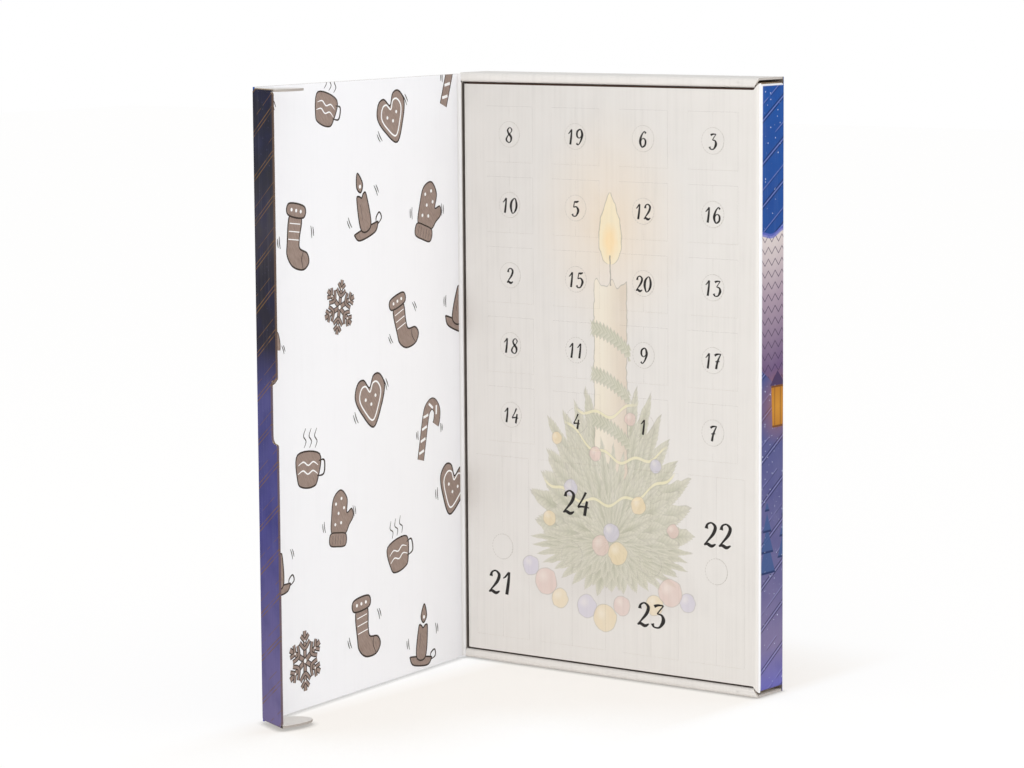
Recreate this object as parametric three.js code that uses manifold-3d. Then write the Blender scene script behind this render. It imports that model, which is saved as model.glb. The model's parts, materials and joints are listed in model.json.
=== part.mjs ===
// Chocolate advent calendar: an upright roll-end box of fluted board that opens like a book.
// Units are millimetres. X runs along the front, Y from the front to the back, and Z up.
// The origin is the centre of the tray's underside. The lid stands open at the spine, on the left.
import * as THREE from 'three';
import { mergeVertices } from 'three/addons/utils/BufferGeometryUtils.js';
import Module from 'manifold-3d';

const wasm = await Module();
wasm.setup();

// Tray
const TRAY_HEIGHT = 380;
const TRAY_WIDTH = 227.4;
const TRAY_DEPTH = 29.2;
const BOARD = 1.4; // one thickness of fluted board
const FOLD_RADIUS = 2.2; // outside of a fold
const EDGE_ROUND = 1.2; // outside edges of the back panel
const CLEARANCE = 0.3; // between boards that don't press on each other
const DUST_FLAP_LENGTH = 62; // flaps of the side walls, trapped in the rolled walls

// Rolled walls at the top and the bottom
const EAR_PLAY = 0.2; // on each face of an ear in its slot
const STRIP_SETBACK = 3.6; // rolled edge short of the corner, at its inner side
const OUTER_SETBACK = 0.5; // the same at its outer side
const EAR_MOUTH = 14.6; // stretch of the ear slot that is open to the front
const TAB_WIDTH = 24; // locking tabs, which stand in slots of the back panel
const TAB_SETBACK = 42; // tab to the tray's nearer side

// Door panel
const PANEL_GAP = 1.2; // between the panel and the rolled walls
const SPINE_GAP = 1.6; // between the panel and the spine wall
const TUCK_DEPTH = 16; // edge of the panel that is turned in beside the spine
const FOLD_LEG = 3; // depth of the panel's corner, up to the right wall

// Windows: a grid of small ones over a row of tall ones, each with a leaf on the left and the right
const GRID_DAYS = ['08 19 06 03', '10 05 12 16', '02 15 20 13', '18 11 09 17', '14 04 01 07'];
const GRID_LEFT = 18.4; // panel edge to the first column
const GRID_RIGHT = 14.6;
const GRID_TOP = 20.8; // tray top to the first row
const GRID_FOOT = 9.6; // last row to the tall windows
const COLUMN_GAP = 15.1; // board between two columns
const ROW_GAP = 9.3;
const TALL_DAYS = ['21', '24', '23', '22'];
const TALL_HEIGHT = 117.6;
const TALL_FOOT = 17.2; // tray foot to the tall windows
const TALL_LEFT = 8.3;
const TALL_RIGHT = 9.4;
const TALL_GAPS = [8.2, 14, 7.5];
const WIDE_DAY = '24';
const WIDE_EXTRA = 10; // how much wider the last day's window is
const DISC_RADIUS = 8.2; // push disc, on the left leaf
const CUT = 0.25; // width of a cut line
const CREASE = 0.15; // leaf to panel at its crease

// Blister with the chocolates
const FILM = 0.6;
const FLANGE_GAP = 0.8; // door panel to blister
const POCKET_DEPTH = 13;
const POCKET_INSET = 1.6; // pocket mouth inside the window
const POCKET_DRAFT = 1.2; // how much each wall leans in
const POCKET_ROUND = 5;
const CHOCOLATE_MOAT = 1.2; // gap between a chocolate and its pocket's floor corner
const CHOCOLATE_HEIGHT = 9;
const CHOCOLATE_BEVEL = 1.6;
const CHOCOLATE_ROUND = 4;
const RELIEF = 1; // raised middle of a chocolate
const SEGMENT_PITCH = 26; // along a bar
const SEGMENT_GROOVE = 3;

// Lid, tuck flap and ears
const LID_ANGLE = 83.9; // degrees open
const FLAP_ANGLE = 59.2; // degrees folded in
const LID_SHORT = 0.9; // lid inside the tray's height, at each end
const FLAP_WIDTH = 26.7;
const NOTCH_HEIGHT = 38;
const NOTCH_DEPTH = 7.5;
const NOTCH_ROUND = 6;
const NOTCH_LIP = 1.5;
const EAR_LENGTH = 24.7;
const EAR_INSET = 0.8;
const FLAP_ROUND = 1.5;

// Places that follow from the sizes
const LEFT = -TRAY_WIDTH / 2;
const RIGHT = TRAY_WIDTH / 2;
const FRONT = -TRAY_DEPTH / 2;
const BACK = TRAY_DEPTH / 2;
const INSIDE_BACK = BACK - BOARD;
const SLOT = BOARD + 2 * EAR_PLAY;
const DUST_LEVEL = BOARD + SLOT; // outer face of a dust flap
const RIM = DUST_LEVEL + 2 * BOARD; // height of a rolled edge
const PANEL_LEVEL = RIM + PANEL_GAP;
const PANEL_LEFT = LEFT + BOARD + SPINE_GAP;
const TALL_TOP = TALL_FOOT + TALL_HEIGHT;

const OVERCUT = 1; // how far a cutter runs past the face that it leaves

const CORNER_STEPS = 4;
const POCKET_STEPS = 2;
const DISC_STEPS = 12;

// Which two model axes the x and y of an outline follow, and which one it is drawn out along
const ALONG = {
  x: [new THREE.Vector3(0, 1, 0), new THREE.Vector3(0, 0, 1), new THREE.Vector3(1, 0, 0)],
  y: [new THREE.Vector3(1, 0, 0), new THREE.Vector3(0, 0, 1), new THREE.Vector3(0, -1, 0)],
  z: [new THREE.Vector3(1, 0, 0), new THREE.Vector3(0, 1, 0), new THREE.Vector3(0, 0, 1)],
};

/** Points of a closed outline through corners [x, y, radius], each rounded by its radius. */
function roundedPoints(corners, steps = CORNER_STEPS) {
  const places = corners.map(([x, y]) => new THREE.Vector2(x, y));
  return corners.flatMap(([, , radius = 0], i) => {
    const here = places[i];
    if (radius === 0) return [here];
    const before = places.at(i - 1).clone().sub(here).normalize();
    const after = places[(i + 1) % places.length].clone().sub(here).normalize();
    const half = Math.acos(before.dot(after)) / 2;
    const reach = radius / Math.tan(half);
    const centre = before.clone().add(after).normalize().multiplyScalar(radius / Math.sin(half)).add(here);
    const start = before.multiplyScalar(reach).add(here).sub(centre).angle();
    const end = after.multiplyScalar(reach).add(here).sub(centre).angle();
    const turn = THREE.MathUtils.euclideanModulo(end - start + Math.PI, 2 * Math.PI) - Math.PI;
    return Array.from({ length: steps + 1 }, (_, k) => {
      const angle = start + (turn * k) / steps;
      return new THREE.Vector2(Math.cos(angle), Math.sin(angle)).multiplyScalar(radius).add(centre);
    });
  });
}

/** Outline of a folded board. Its outer face follows the points; side is 1 where the board lies to the left. */
function foldedBoard(path, side) {
  const inner = path.map(([x, y], i) => {
    const here = new THREE.Vector2(x, y);
    const offsets = [path[i - 1], path[i + 1]].map((other, k) => {
      if (!other) return null;
      const run = new THREE.Vector2(...other).sub(here).multiplyScalar(k === 0 ? -1 : 1).normalize();
      return new THREE.Vector2(-run.y, run.x).multiplyScalar(side * BOARD);
    });
    const [a, b] = [offsets[0] ?? offsets[1], offsets[1] ?? offsets[0]];
    const moved = here.add(a);
    return a.equals(b) ? moved : moved.add(b);
  });
  const isEnd = (i) => i === 0 || i === path.length - 1;
  const outerCorners = path.map(([x, y], i) => [x, y, isEnd(i) ? 0 : FOLD_RADIUS]);
  const innerCorners = inner.map((p, i) => [p.x, p.y, isEnd(i) ? 0 : FOLD_RADIUS - BOARD]);
  return roundedPoints([...outerCorners, ...innerCorners.reverse()]);
}

/** Draws an outline out along an axis, from one level to another. */
function drawn(points, axis, from, to) {
  const geometry = new THREE.ExtrudeGeometry(new THREE.Shape(points), {
    depth: to - from,
    bevelEnabled: false,
  });
  const base = axis === 'y' ? -to : from;
  geometry.translate(0, 0, base);
  return geometry.applyMatrix4(new THREE.Matrix4().makeBasis(...ALONG[axis]));
}

/** A block between two corners. */
function block([x0, y0, z0], [x1, y1, z1]) {
  const geometry = new THREE.BoxGeometry(x1 - x0, y1 - y0, z1 - z0);
  return geometry.translate((x0 + x1) / 2, (y0 + y1) / 2, (z0 + z1) / 2);
}

/** A closed body through rings of as many points each, given as [depth, points in x and z]. */
function lofted(rings) {
  const count = rings[0][1].length;
  const positions = rings.flatMap(([depth, points]) => points.flatMap((p) => [p.x, depth, p.y]));
  const index = [];
  for (let ring = 0; ring < rings.length - 1; ring += 1) {
    for (let i = 0; i < count; i += 1) {
      const [a, b] = [ring * count + i, ring * count + ((i + 1) % count)];
      index.push(a, a + count, b, b, a + count, b + count);
    }
  }
  const last = (rings.length - 1) * count;
  const faces = THREE.ShapeUtils.triangulateShape(rings[0][1], []);
  faces.forEach(([a, b, c]) => index.push(a, b, c));
  faces.forEach(([a, b, c]) => index.push(last + a, last + c, last + b));
  const geometry = new THREE.BufferGeometry();
  geometry.setAttribute('position', new THREE.Float32BufferAttribute(positions, 3));
  geometry.setIndex(index);
  return orientedOut(geometry);
}

/** Turns a closed geometry's faces round where they point in. */
function orientedOut(geometry) {
  const { array } = geometry.attributes.position;
  const { array: index } = geometry.index;
  const corner = (k) => new THREE.Vector3().fromArray(array, index[k] * 3);
  let volume = 0;
  for (let k = 0; k < index.length; k += 3) {
    volume += corner(k).dot(corner(k + 1).cross(corner(k + 2)));
  }
  if (volume < 0) {
    for (let k = 0; k < index.length; k += 3) {
      [index[k], index[k + 1]] = [index[k + 1], index[k]];
    }
  }
  return geometry;
}

/** The solid of a closed geometry. */
function solidOf(geometry) {
  const bare = geometry.clone();
  bare.deleteAttribute('normal');
  bare.deleteAttribute('uv');
  const merged = mergeVertices(bare, 1e-4);
  return new wasm.Manifold(
    new wasm.Mesh({
      numProp: 3,
      vertProperties: new Float32Array(merged.attributes.position.array),
      triVerts: new Uint32Array(merged.index.array),
    }),
  );
}

/** The geometry of a solid. */
function geometryOf(solid) {
  const mesh = solid.getMesh();
  const geometry = new THREE.BufferGeometry();
  geometry.setAttribute('position', new THREE.BufferAttribute(new Float32Array(mesh.vertProperties), 3));
  geometry.setIndex(new THREE.BufferAttribute(new Uint32Array(mesh.triVerts), 1));
  geometry.computeVertexNormals();
  return geometry;
}

/** Joins geometries and cuts others out of them. */
function carved(kept, cuts) {
  const total = kept.map(solidOf).reduce((sum, solid) => sum.add(solid));
  return geometryOf(cuts.map(solidOf).reduce((rest, solid) => rest.subtract(solid), total));
}

/** Corner points of an upright rectangle in x and z, rounded. */
function rectangle(centreX, centreZ, width, height, radius, steps) {
  const [w, h] = [width / 2, height / 2];
  return roundedPoints(
    [
      [centreX - w, centreZ - h, radius],
      [centreX + w, centreZ - h, radius],
      [centreX + w, centreZ + h, radius],
      [centreX - w, centreZ + h, radius],
    ],
    steps,
  );
}

/** Every window: its day, centre and size, on the front plane. */
function windowLayout() {
  const days = GRID_DAYS.map((row) => row.split(' '));
  const [rows, columns] = [days.length, days[0].length];
  const [gridX, gridZ] = [PANEL_LEFT + GRID_LEFT, TRAY_HEIGHT - GRID_TOP];
  const gridWidth = (RIGHT - GRID_RIGHT - gridX - (columns - 1) * COLUMN_GAP) / columns;
  const gridHeight = (gridZ - TALL_TOP - GRID_FOOT - (rows - 1) * ROW_GAP) / rows;
  const grid = days.flatMap((inRow, row) =>
    inRow.map((day, column) => ({
      day,
      x: gridX + gridWidth / 2 + column * (gridWidth + COLUMN_GAP),
      z: gridZ - gridHeight / 2 - row * (gridHeight + ROW_GAP),
      width: gridWidth,
      height: gridHeight,
    })),
  );
  const gaps = TALL_LEFT + TALL_RIGHT + TALL_GAPS.reduce((sum, gap) => sum + gap);
  const unit = (RIGHT - PANEL_LEFT - gaps - WIDE_EXTRA) / TALL_DAYS.length;
  let edge = PANEL_LEFT + TALL_LEFT;
  const tall = TALL_DAYS.map((day, i) => {
    const width = day === WIDE_DAY ? unit + WIDE_EXTRA : unit;
    const x = edge + width / 2;
    edge += width + (TALL_GAPS[i] ?? 0);
    return { day, x, z: TALL_FOOT + TALL_HEIGHT / 2, width, height: TALL_HEIGHT, tall: true };
  });
  return [...grid, ...tall];
}

const WINDOWS = windowLayout();

// Finishes
const finish = (color, roughness) => new THREE.MeshStandardMaterial({ color, roughness, metalness: 0 });
const WHITE_BOARD = finish('#f1efec', 0.7);
const DOOR_BOARD = finish('#dedbd4', 0.65);
const PRINTED_BOARD = finish('#3b3f86', 0.45);
const LINING_BOARD = finish('#f2f2f5', 0.6);
const CHOCOLATE_TRAY = finish('#4a2a1a', 0.4);

/** A named mesh, placed at a point. */
function piece(name, geometry, material, position = [0, 0, 0]) {
  const mesh = new THREE.Mesh(geometry, material);
  mesh.name = name;
  mesh.position.set(...position);
  return mesh;
}

/** The two locking tabs of a rolled wall, from one depth to another, with play all round for their slots. */
function lockingTabs(end, from, to, play = 0) {
  const [low, high] = end > 0 ? [TRAY_HEIGHT - RIM, TRAY_HEIGHT - RIM + BOARD] : [RIM - BOARD, RIM];
  const reach = RIGHT - TAB_SETBACK + play;
  const near = reach - TAB_WIDTH - 2 * play;
  const spans = [[-reach, -near], [near, reach]];
  return spans.map(([x0, x1]) => block([x0, from, low - play], [x1, to, high + play]));
}

/** Back panel: one board over the full width and height, its outside edges rounded, with the tabs' slots. */
function backPanel() {
  const plan = roundedPoints([
    [LEFT, INSIDE_BACK],
    [RIGHT, INSIDE_BACK],
    [RIGHT, BACK, EDGE_ROUND],
    [LEFT, BACK, EDGE_ROUND],
  ]);
  const side = roundedPoints([
    [INSIDE_BACK, 0],
    [BACK, 0, EDGE_ROUND],
    [BACK, TRAY_HEIGHT, EDGE_ROUND],
    [INSIDE_BACK, TRAY_HEIGHT],
  ]);
  const upright = solidOf(drawn(plan, 'z', 0, TRAY_HEIGHT));
  const panel = upright.intersect(solidOf(drawn(side, 'x', LEFT, RIGHT)));
  const slots = [-1, 1].flatMap((end) => lockingTabs(end, INSIDE_BACK - OVERCUT, BACK + OVERCUT, CLEARANCE));
  return geometryOf(slots.map(solidOf).reduce((rest, slot) => rest.subtract(slot), panel));
}

/**
 * A side wall with a dust flap turned in at each end. side is -1 for the spine and 1 for the right wall.
 * frontY is where its front edge stands, and stripY where its ends clear the rolled edges.
 */
function sideWall(side, frontY, stripY) {
  const [outside, tip] = [side * RIGHT, side * (RIGHT - DUST_FLAP_LENGTH)];
  const [low, high] = [DUST_LEVEL, TRAY_HEIGHT - DUST_LEVEL];
  const profile = foldedBoard([[tip, low], [outside, low], [outside, high], [tip, high]], side);
  const inward = side * (RIGHT - BOARD);
  const [x0, x1] = [Math.min(inward, tip), Math.max(inward, tip)];
  const edgeCuts = [
    [0, RIM + CLEARANCE],
    [TRAY_HEIGHT - RIM - CLEARANCE, TRAY_HEIGHT],
  ];
  return carved(
    [drawn(profile, 'y', frontY, INSIDE_BACK)],
    edgeCuts.flatMap(([z0, z1]) => [
      block([LEFT - OVERCUT, FRONT - OVERCUT, z0], [RIGHT + OVERCUT, stripY, z1]),
      block([x0 - OVERCUT, INSIDE_BACK - CLEARANCE, z0], [x1 + OVERCUT, BACK, z1]),
    ]),
  );
}

/** A rolled wall: outer board, front edge and inner board in one, the ear slot between them, and its tabs. */
function rolledWall(end) {
  const level = (rise) => (end > 0 ? TRAY_HEIGHT - rise : rise);
  const span = (a, b) => [Math.min(level(a), level(b)), Math.max(level(a), level(b))];
  const profile = foldedBoard(
    [
      [INSIDE_BACK, level(0)],
      [FRONT, level(0)],
      [FRONT, level(RIM)],
      [INSIDE_BACK - CLEARANCE, level(RIM)],
    ],
    end,
  );
  const [wallLow, wallHigh] = span(DUST_LEVEL, RIM + OVERCUT);
  const [mouthLow, mouthHigh] = span(BOARD, DUST_LEVEL);
  const cornerCut = [
    [RIGHT - STRIP_SETBACK, level(RIM + OVERCUT)],
    [RIGHT - STRIP_SETBACK, level(RIM)],
    [RIGHT - OUTER_SETBACK, level(BOARD)],
    [RIGHT + OVERCUT, level(BOARD)],
    [RIGHT + OVERCUT, level(RIM + OVERCUT)],
  ].map(([x, z]) => new THREE.Vector2(x, z));
  const stripBack = FRONT + BOARD;
  return carved(
    [
      drawn(profile, 'x', LEFT, RIGHT - OUTER_SETBACK),
      ...lockingTabs(end, INSIDE_BACK - BOARD, BACK - CLEARANCE),
    ],
    [
      block([LEFT - OVERCUT, stripBack, wallLow], [LEFT + FOLD_RADIUS, BACK, wallHigh]),
      block([RIGHT - FOLD_RADIUS, stripBack, wallLow], [RIGHT + OVERCUT, BACK, wallHigh]),
      drawn(cornerCut, 'y', FRONT - OVERCUT, FRONT + FOLD_LEG + CLEARANCE),
      block(
        [RIGHT - EAR_MOUTH, FRONT - OVERCUT, mouthLow],
        [RIGHT + OVERCUT, stripBack + CLEARANCE, mouthHigh],
      ),
    ],
  );
}

/** The door panel: turned in beside the spine, folded round the right corner, with every window cut out. */
function doorPanel() {
  const profile = foldedBoard(
    [
      [PANEL_LEFT, FRONT + TUCK_DEPTH],
      [PANEL_LEFT, FRONT],
      [RIGHT, FRONT],
      [RIGHT, FRONT + FOLD_LEG],
    ],
    1,
  );
  const ends = [-1, 1].map((end) => {
    const level = (rise) => (end > 0 ? TRAY_HEIGHT - rise : rise);
    const cut = [
      [LEFT, level(0)],
      [RIGHT + OVERCUT, level(0)],
      [RIGHT + OVERCUT, level(DUST_LEVEL)],
      [RIGHT, level(DUST_LEVEL)],
      [RIGHT - STRIP_SETBACK, level(PANEL_LEVEL)],
      [LEFT, level(PANEL_LEVEL)],
    ].map(([x, z]) => new THREE.Vector2(x, z));
    return drawn(cut, 'y', FRONT - OVERCUT, FRONT + TUCK_DEPTH + OVERCUT);
  });
  const holes = WINDOWS.map(({ x, z, width, height }) =>
    block(
      [x - width / 2, FRONT - OVERCUT, z - height / 2],
      [x + width / 2, FRONT + BOARD + OVERCUT, z + height / 2],
    ),
  );
  return carved([drawn(profile, 'z', 0, TRAY_HEIGHT)], [...ends, ...holes]);
}

/** Half of a window, in x and z from its crease. side is -1 for the left leaf, which carries the push disc. */
function leafOutline({ width, height }, side) {
  const middle = width / 2;
  const [low, high] = [CUT - height / 2, height / 2 - CUT];
  const radius = side < 0 ? DISC_RADIUS : DISC_RADIUS + CUT;
  const edge = side < 0 ? middle - CUT / 2 : middle + CUT / 2;
  const start = Math.asin((-side * CUT) / 2 / radius);
  const arc = Array.from({ length: DISC_STEPS + 1 }, (_, k) => {
    const angle = -Math.PI / 2 - start + ((Math.PI + 2 * start) * k) / DISC_STEPS;
    return new THREE.Vector2(middle + radius * Math.cos(angle), radius * Math.sin(angle));
  });
  const far = width - CREASE;
  const points =
    side < 0
      ? [[CREASE, low], [edge, low], ...arc.map((p) => [p.x, p.y]), [edge, high], [CREASE, high]]
      : [[far, low], [far, high], [edge, high], ...arc.reverse().map((p) => [p.x, p.y]), [edge, low]];
  return points.map(([x, z]) => new THREE.Vector2(side < 0 ? x : x - width, z));
}

/** The two leaves of a window, each placed at its crease. */
function leaves(opening) {
  return [-1, 1].map((side) => {
    const name = `leaf_${opening.day}_${side < 0 ? 'left' : 'right'}`;
    const crease = [opening.x + (side * opening.width) / 2, FRONT, opening.z];
    return piece(name, drawn(leafOutline(opening, side), 'y', 0, BOARD), DOOR_BOARD, crease);
  });
}

/** One chocolate, standing on its pocket's floor: a bevelled tablet, or a bar with raised segments. */
function chocolate({ x, z, width, height, tall }, floorY) {
  const [w, h] = [width - 2 * CHOCOLATE_MOAT, height - 2 * CHOCOLATE_MOAT];
  const ring = (inset, rise) => [
    floorY - rise,
    rectangle(x, z, w - 2 * inset, h - 2 * inset, CHOCOLATE_ROUND - inset / 2, POCKET_STEPS),
  ];
  const body = lofted([
    ring(0, -FILM / 2),
    ring(CHOCOLATE_BEVEL / 4, CHOCOLATE_HEIGHT - CHOCOLATE_BEVEL),
    ring(CHOCOLATE_BEVEL, CHOCOLATE_HEIGHT),
  ]);
  const across = tall ? Math.max(1, Math.round(w / SEGMENT_PITCH)) : 1;
  const along = tall ? Math.max(1, Math.round(h / SEGMENT_PITCH)) : 1;
  const [stepX, stepZ] = [(w - 2 * CHOCOLATE_BEVEL) / across, (h - 2 * CHOCOLATE_BEVEL) / along];
  const raised = Array.from({ length: across * along }, (_, k) => {
    const cx = x + stepX * ((k % across) - (across - 1) / 2);
    const cz = z + stepZ * (Math.floor(k / across) - (along - 1) / 2);
    const pad = (inset, rise) => [
      floorY - rise,
      rectangle(cx, cz, stepX - inset, stepZ - inset, CHOCOLATE_ROUND - CHOCOLATE_BEVEL, POCKET_STEPS),
    ];
    return lofted([
      pad(SEGMENT_GROOVE, CHOCOLATE_HEIGHT - FILM),
      pad(SEGMENT_GROOVE, CHOCOLATE_HEIGHT),
      pad(SEGMENT_GROOVE + 2 * RELIEF, CHOCOLATE_HEIGHT + RELIEF),
    ]);
  });
  return [body, ...raised];
}

/** The blister: a skirted film with a drafted pocket behind each window, and the chocolate in it. */
function blister() {
  const flangeY = FRONT + BOARD + FLANGE_GAP;
  const floorY = flangeY + POCKET_DEPTH;
  const [x0, x1] = [PANEL_LEFT + BOARD + CLEARANCE, RIGHT - BOARD - CLEARANCE];
  const [z0, z1] = [RIM + CLEARANCE, TRAY_HEIGHT - RIM - CLEARANCE];
  const shell = block([x0, flangeY, z0], [x1, INSIDE_BACK, z1]);
  const hollow = block([x0 + FILM, flangeY + FILM, z0 + FILM], [x1 - FILM, BACK, z1 - FILM]);
  const pocket = ({ x, z, width, height }, wall, mouthY, endY) => {
    const ring = (depth, lean) => [
      depth,
      rectangle(
        x,
        z,
        width - 2 * POCKET_INSET - 2 * lean + 2 * wall,
        height - 2 * POCKET_INSET - 2 * lean + 2 * wall,
        POCKET_ROUND + wall - lean,
        POCKET_STEPS,
      ),
    ];
    return lofted([ring(mouthY, 0), ring(endY, POCKET_DRAFT)]);
  };
  const films = WINDOWS.map((opening) => pocket(opening, FILM, flangeY + FILM / 2, floorY + FILM));
  const mouths = WINDOWS.map((opening) => pocket(opening, 0, flangeY - FILM, floorY));
  const floor = (opening) => ({
    ...opening,
    width: opening.width - 2 * (POCKET_INSET + POCKET_DRAFT),
    height: opening.height - 2 * (POCKET_INSET + POCKET_DRAFT),
  });
  const chocolates = WINDOWS.flatMap((opening) => chocolate(floor(opening), floorY));
  const skirted = solidOf(shell).subtract(solidOf(hollow));
  const pocketed = wasm.Manifold.union([skirted, ...films.map(solidOf)]);
  const emptied = pocketed.subtract(wasm.Manifold.union(mouths.map(solidOf)));
  return geometryOf(wasm.Manifold.union([emptied, ...chocolates.map(solidOf)]));
}

/** Tuck flap in its own place: x from its crease, y from its inner face, with the thumb notch at mid height. */
function tuckFlap() {
  const fold = DUST_LEVEL - EAR_PLAY; // inner corner of an ear's fold
  const [low, high] = [fold + CREASE, TRAY_HEIGHT - fold - CREASE];
  const [notchLow, notchHigh] = [(TRAY_HEIGHT - NOTCH_HEIGHT) / 2, (TRAY_HEIGHT + NOTCH_HEIGHT) / 2];
  const bottom = FLAP_WIDTH - NOTCH_DEPTH;
  const outline = roundedPoints([
    [CREASE, low],
    [FLAP_WIDTH, low, FLAP_ROUND],
    [FLAP_WIDTH, notchLow, NOTCH_LIP],
    [bottom, notchLow, NOTCH_ROUND - NOTCH_LIP],
    [bottom, notchHigh, NOTCH_ROUND - NOTCH_LIP],
    [FLAP_WIDTH, notchHigh, NOTCH_LIP],
    [FLAP_WIDTH, high, FLAP_ROUND],
    [CREASE, high],
  ]);
  return drawn(outline, 'y', -BOARD, 0);
}

/** An ear in its own place: a half ellipse that stands square to the flap. */
function ear(low) {
  const half = FLAP_WIDTH / 2 - EAR_INSET;
  const tip = EAR_LENGTH - CREASE;
  const outline = Array.from({ length: DISC_STEPS + 1 }, (_, k) => {
    const angle = (Math.PI * k) / DISC_STEPS;
    return new THREE.Vector2(FLAP_WIDTH / 2 + half * Math.cos(angle), CREASE + tip * Math.sin(angle));
  });
  return drawn(outline, 'z', low, low + BOARD);
}

/** The lid with its tuck flap and ears, in nested groups at the spine fold and at the flap's crease. */
function lid() {
  const reach = TRAY_WIDTH + CLEARANCE; // spine fold to the flap's crease
  const faceY = -CLEARANCE; // inner face
  const earLow = BOARD + EAR_PLAY;
  const panel = block(
    [CLEARANCE, faceY - BOARD, LID_SHORT],
    [reach - CREASE, faceY, TRAY_HEIGHT - LID_SHORT],
  );
  const flapGroup = new THREE.Group();
  flapGroup.position.set(reach, faceY, 0);
  flapGroup.rotation.z = THREE.MathUtils.degToRad(FLAP_ANGLE);
  flapGroup.add(
    piece('tuck_flap', tuckFlap(), PRINTED_BOARD),
    piece('ear_bottom', ear(earLow), LINING_BOARD),
    piece('ear_top', ear(TRAY_HEIGHT - earLow - BOARD), LINING_BOARD),
  );
  const lidGroup = new THREE.Group();
  lidGroup.position.set(LEFT, FRONT, 0);
  lidGroup.rotation.z = THREE.MathUtils.degToRad(-LID_ANGLE);
  lidGroup.add(piece('lid_panel', panel, LINING_BOARD), flapGroup);
  return lidGroup;
}

const calendar = new THREE.Group();
calendar.name = 'advent_calendar';
calendar.add(
  piece('back_panel', backPanel(), PRINTED_BOARD),
  piece('spine_wall', sideWall(-1, FRONT, FRONT + FOLD_RADIUS), PRINTED_BOARD),
  piece('right_wall', sideWall(1, FRONT + FOLD_LEG, FRONT + FOLD_LEG), PRINTED_BOARD),
  piece('bottom_rolled_wall', rolledWall(-1), WHITE_BOARD),
  piece('top_rolled_wall', rolledWall(1), WHITE_BOARD),
  piece('door_panel', doorPanel(), DOOR_BOARD),
  piece('chocolate_tray', blister(), CHOCOLATE_TRAY),
  ...WINDOWS.flatMap(leaves),
  lid(),
);

export default calendar;
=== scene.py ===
"""Looks of a chocolate advent calendar: a folding carton of fluted board, open like a book on its windows."""
import json
import logging
import math
from dataclasses import dataclass
from enum import Enum
from typing import Callable, Iterable, Sequence

import bmesh
import bpy
from mathutils import Matrix, Vector


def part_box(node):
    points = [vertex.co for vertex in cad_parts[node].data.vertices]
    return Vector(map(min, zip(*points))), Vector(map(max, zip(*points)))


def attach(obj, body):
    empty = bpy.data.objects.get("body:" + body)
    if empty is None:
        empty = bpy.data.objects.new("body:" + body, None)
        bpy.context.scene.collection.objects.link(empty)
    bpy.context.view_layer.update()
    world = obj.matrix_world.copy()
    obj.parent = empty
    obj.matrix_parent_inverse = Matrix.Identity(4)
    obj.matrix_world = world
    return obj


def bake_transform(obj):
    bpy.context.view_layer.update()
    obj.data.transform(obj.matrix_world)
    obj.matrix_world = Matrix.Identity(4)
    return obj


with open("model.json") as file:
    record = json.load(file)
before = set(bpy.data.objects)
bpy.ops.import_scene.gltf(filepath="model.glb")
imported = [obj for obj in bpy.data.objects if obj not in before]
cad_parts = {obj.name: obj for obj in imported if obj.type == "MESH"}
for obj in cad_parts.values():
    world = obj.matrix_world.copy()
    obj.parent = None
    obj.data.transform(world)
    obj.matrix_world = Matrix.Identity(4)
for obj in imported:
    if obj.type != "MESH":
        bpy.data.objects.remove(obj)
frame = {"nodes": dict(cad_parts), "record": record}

log = logging.getLogger("calendar")
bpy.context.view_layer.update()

MM = 0.001
BOARD = 1.4
FLUTE_PITCH = 2.4
PRINT_LIFT = 1.5e-5  # height of a print above its board, in metres
INK_STEP = 0.004  # height of each further stroke, in millimetres
Pair = tuple[float, float]
Stroke = Sequence[tuple[float, float, float]]
Paint = bpy.types.NodeSocket | tuple[float, ...]


def tone(red: int, green: int, blue: int) -> tuple[float, float, float, float]:
    """Turns a colour as it is seen into the linear values that a shader takes.

    Args:
        red: share of red, 0 to 255.
        green: share of green, 0 to 255.
        blue: share of blue, 0 to 255.

    Returns:
        The linear colour with full alpha.
    """
    parts = [c / 255 for c in (red, green, blue)]
    linear = [c / 12.92 if c <= 0.04045 else ((c + 0.055) / 1.055) ** 2.4 for c in parts]
    return (*linear, 1.0)


@dataclass(frozen=True)
class Face:
    """A flat side of the box in plan: where it starts and which way is right, seen square on."""

    origin: Pair
    right: Pair

    def place(self, level: float) -> Matrix:
        """Gives the matrix from a drawing in millimetres, x right and y up, to the box, in metres.

        Args:
            level: height above the face, in metres.

        Returns:
            The matrix.
        """
        right = Vector((*self.right, 0))
        up = Vector((0, 0, 1))
        out = right.cross(up)
        start = Vector((*self.origin, 0)) * MM + out * level
        turn = Matrix((right, up, out)).transposed().to_4x4()
        return Matrix.Translation(start) @ turn @ Matrix.Scale(MM, 4)

    def opposite(self, thickness: float, width: float) -> "Face":
        """Gives the other side of a board.

        Args:
            thickness: of the board, in millimetres.
            width: of the board, so that the drawing again starts at its left.

        Returns:
            The side that looks the other way.
        """
        (x, y), (a, b) = self.origin, self.right
        return Face((x + a * width - b * thickness, y + b * width + a * thickness), (-a, -b))


JOINTS = {joint["name"]: joint for joint in frame["record"]["behaviour"]["joints"]}


def joint_place(name: str) -> Vector:
    """Gives a joint's point in millimetres."""
    return Vector(JOINTS[name]["pos_m"]) / MM


def shut_turn(name: str) -> float:
    """Gives the turn that shuts a joint, in radians."""
    return math.radians(JOINTS[name]["range_deg"][0])


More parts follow.
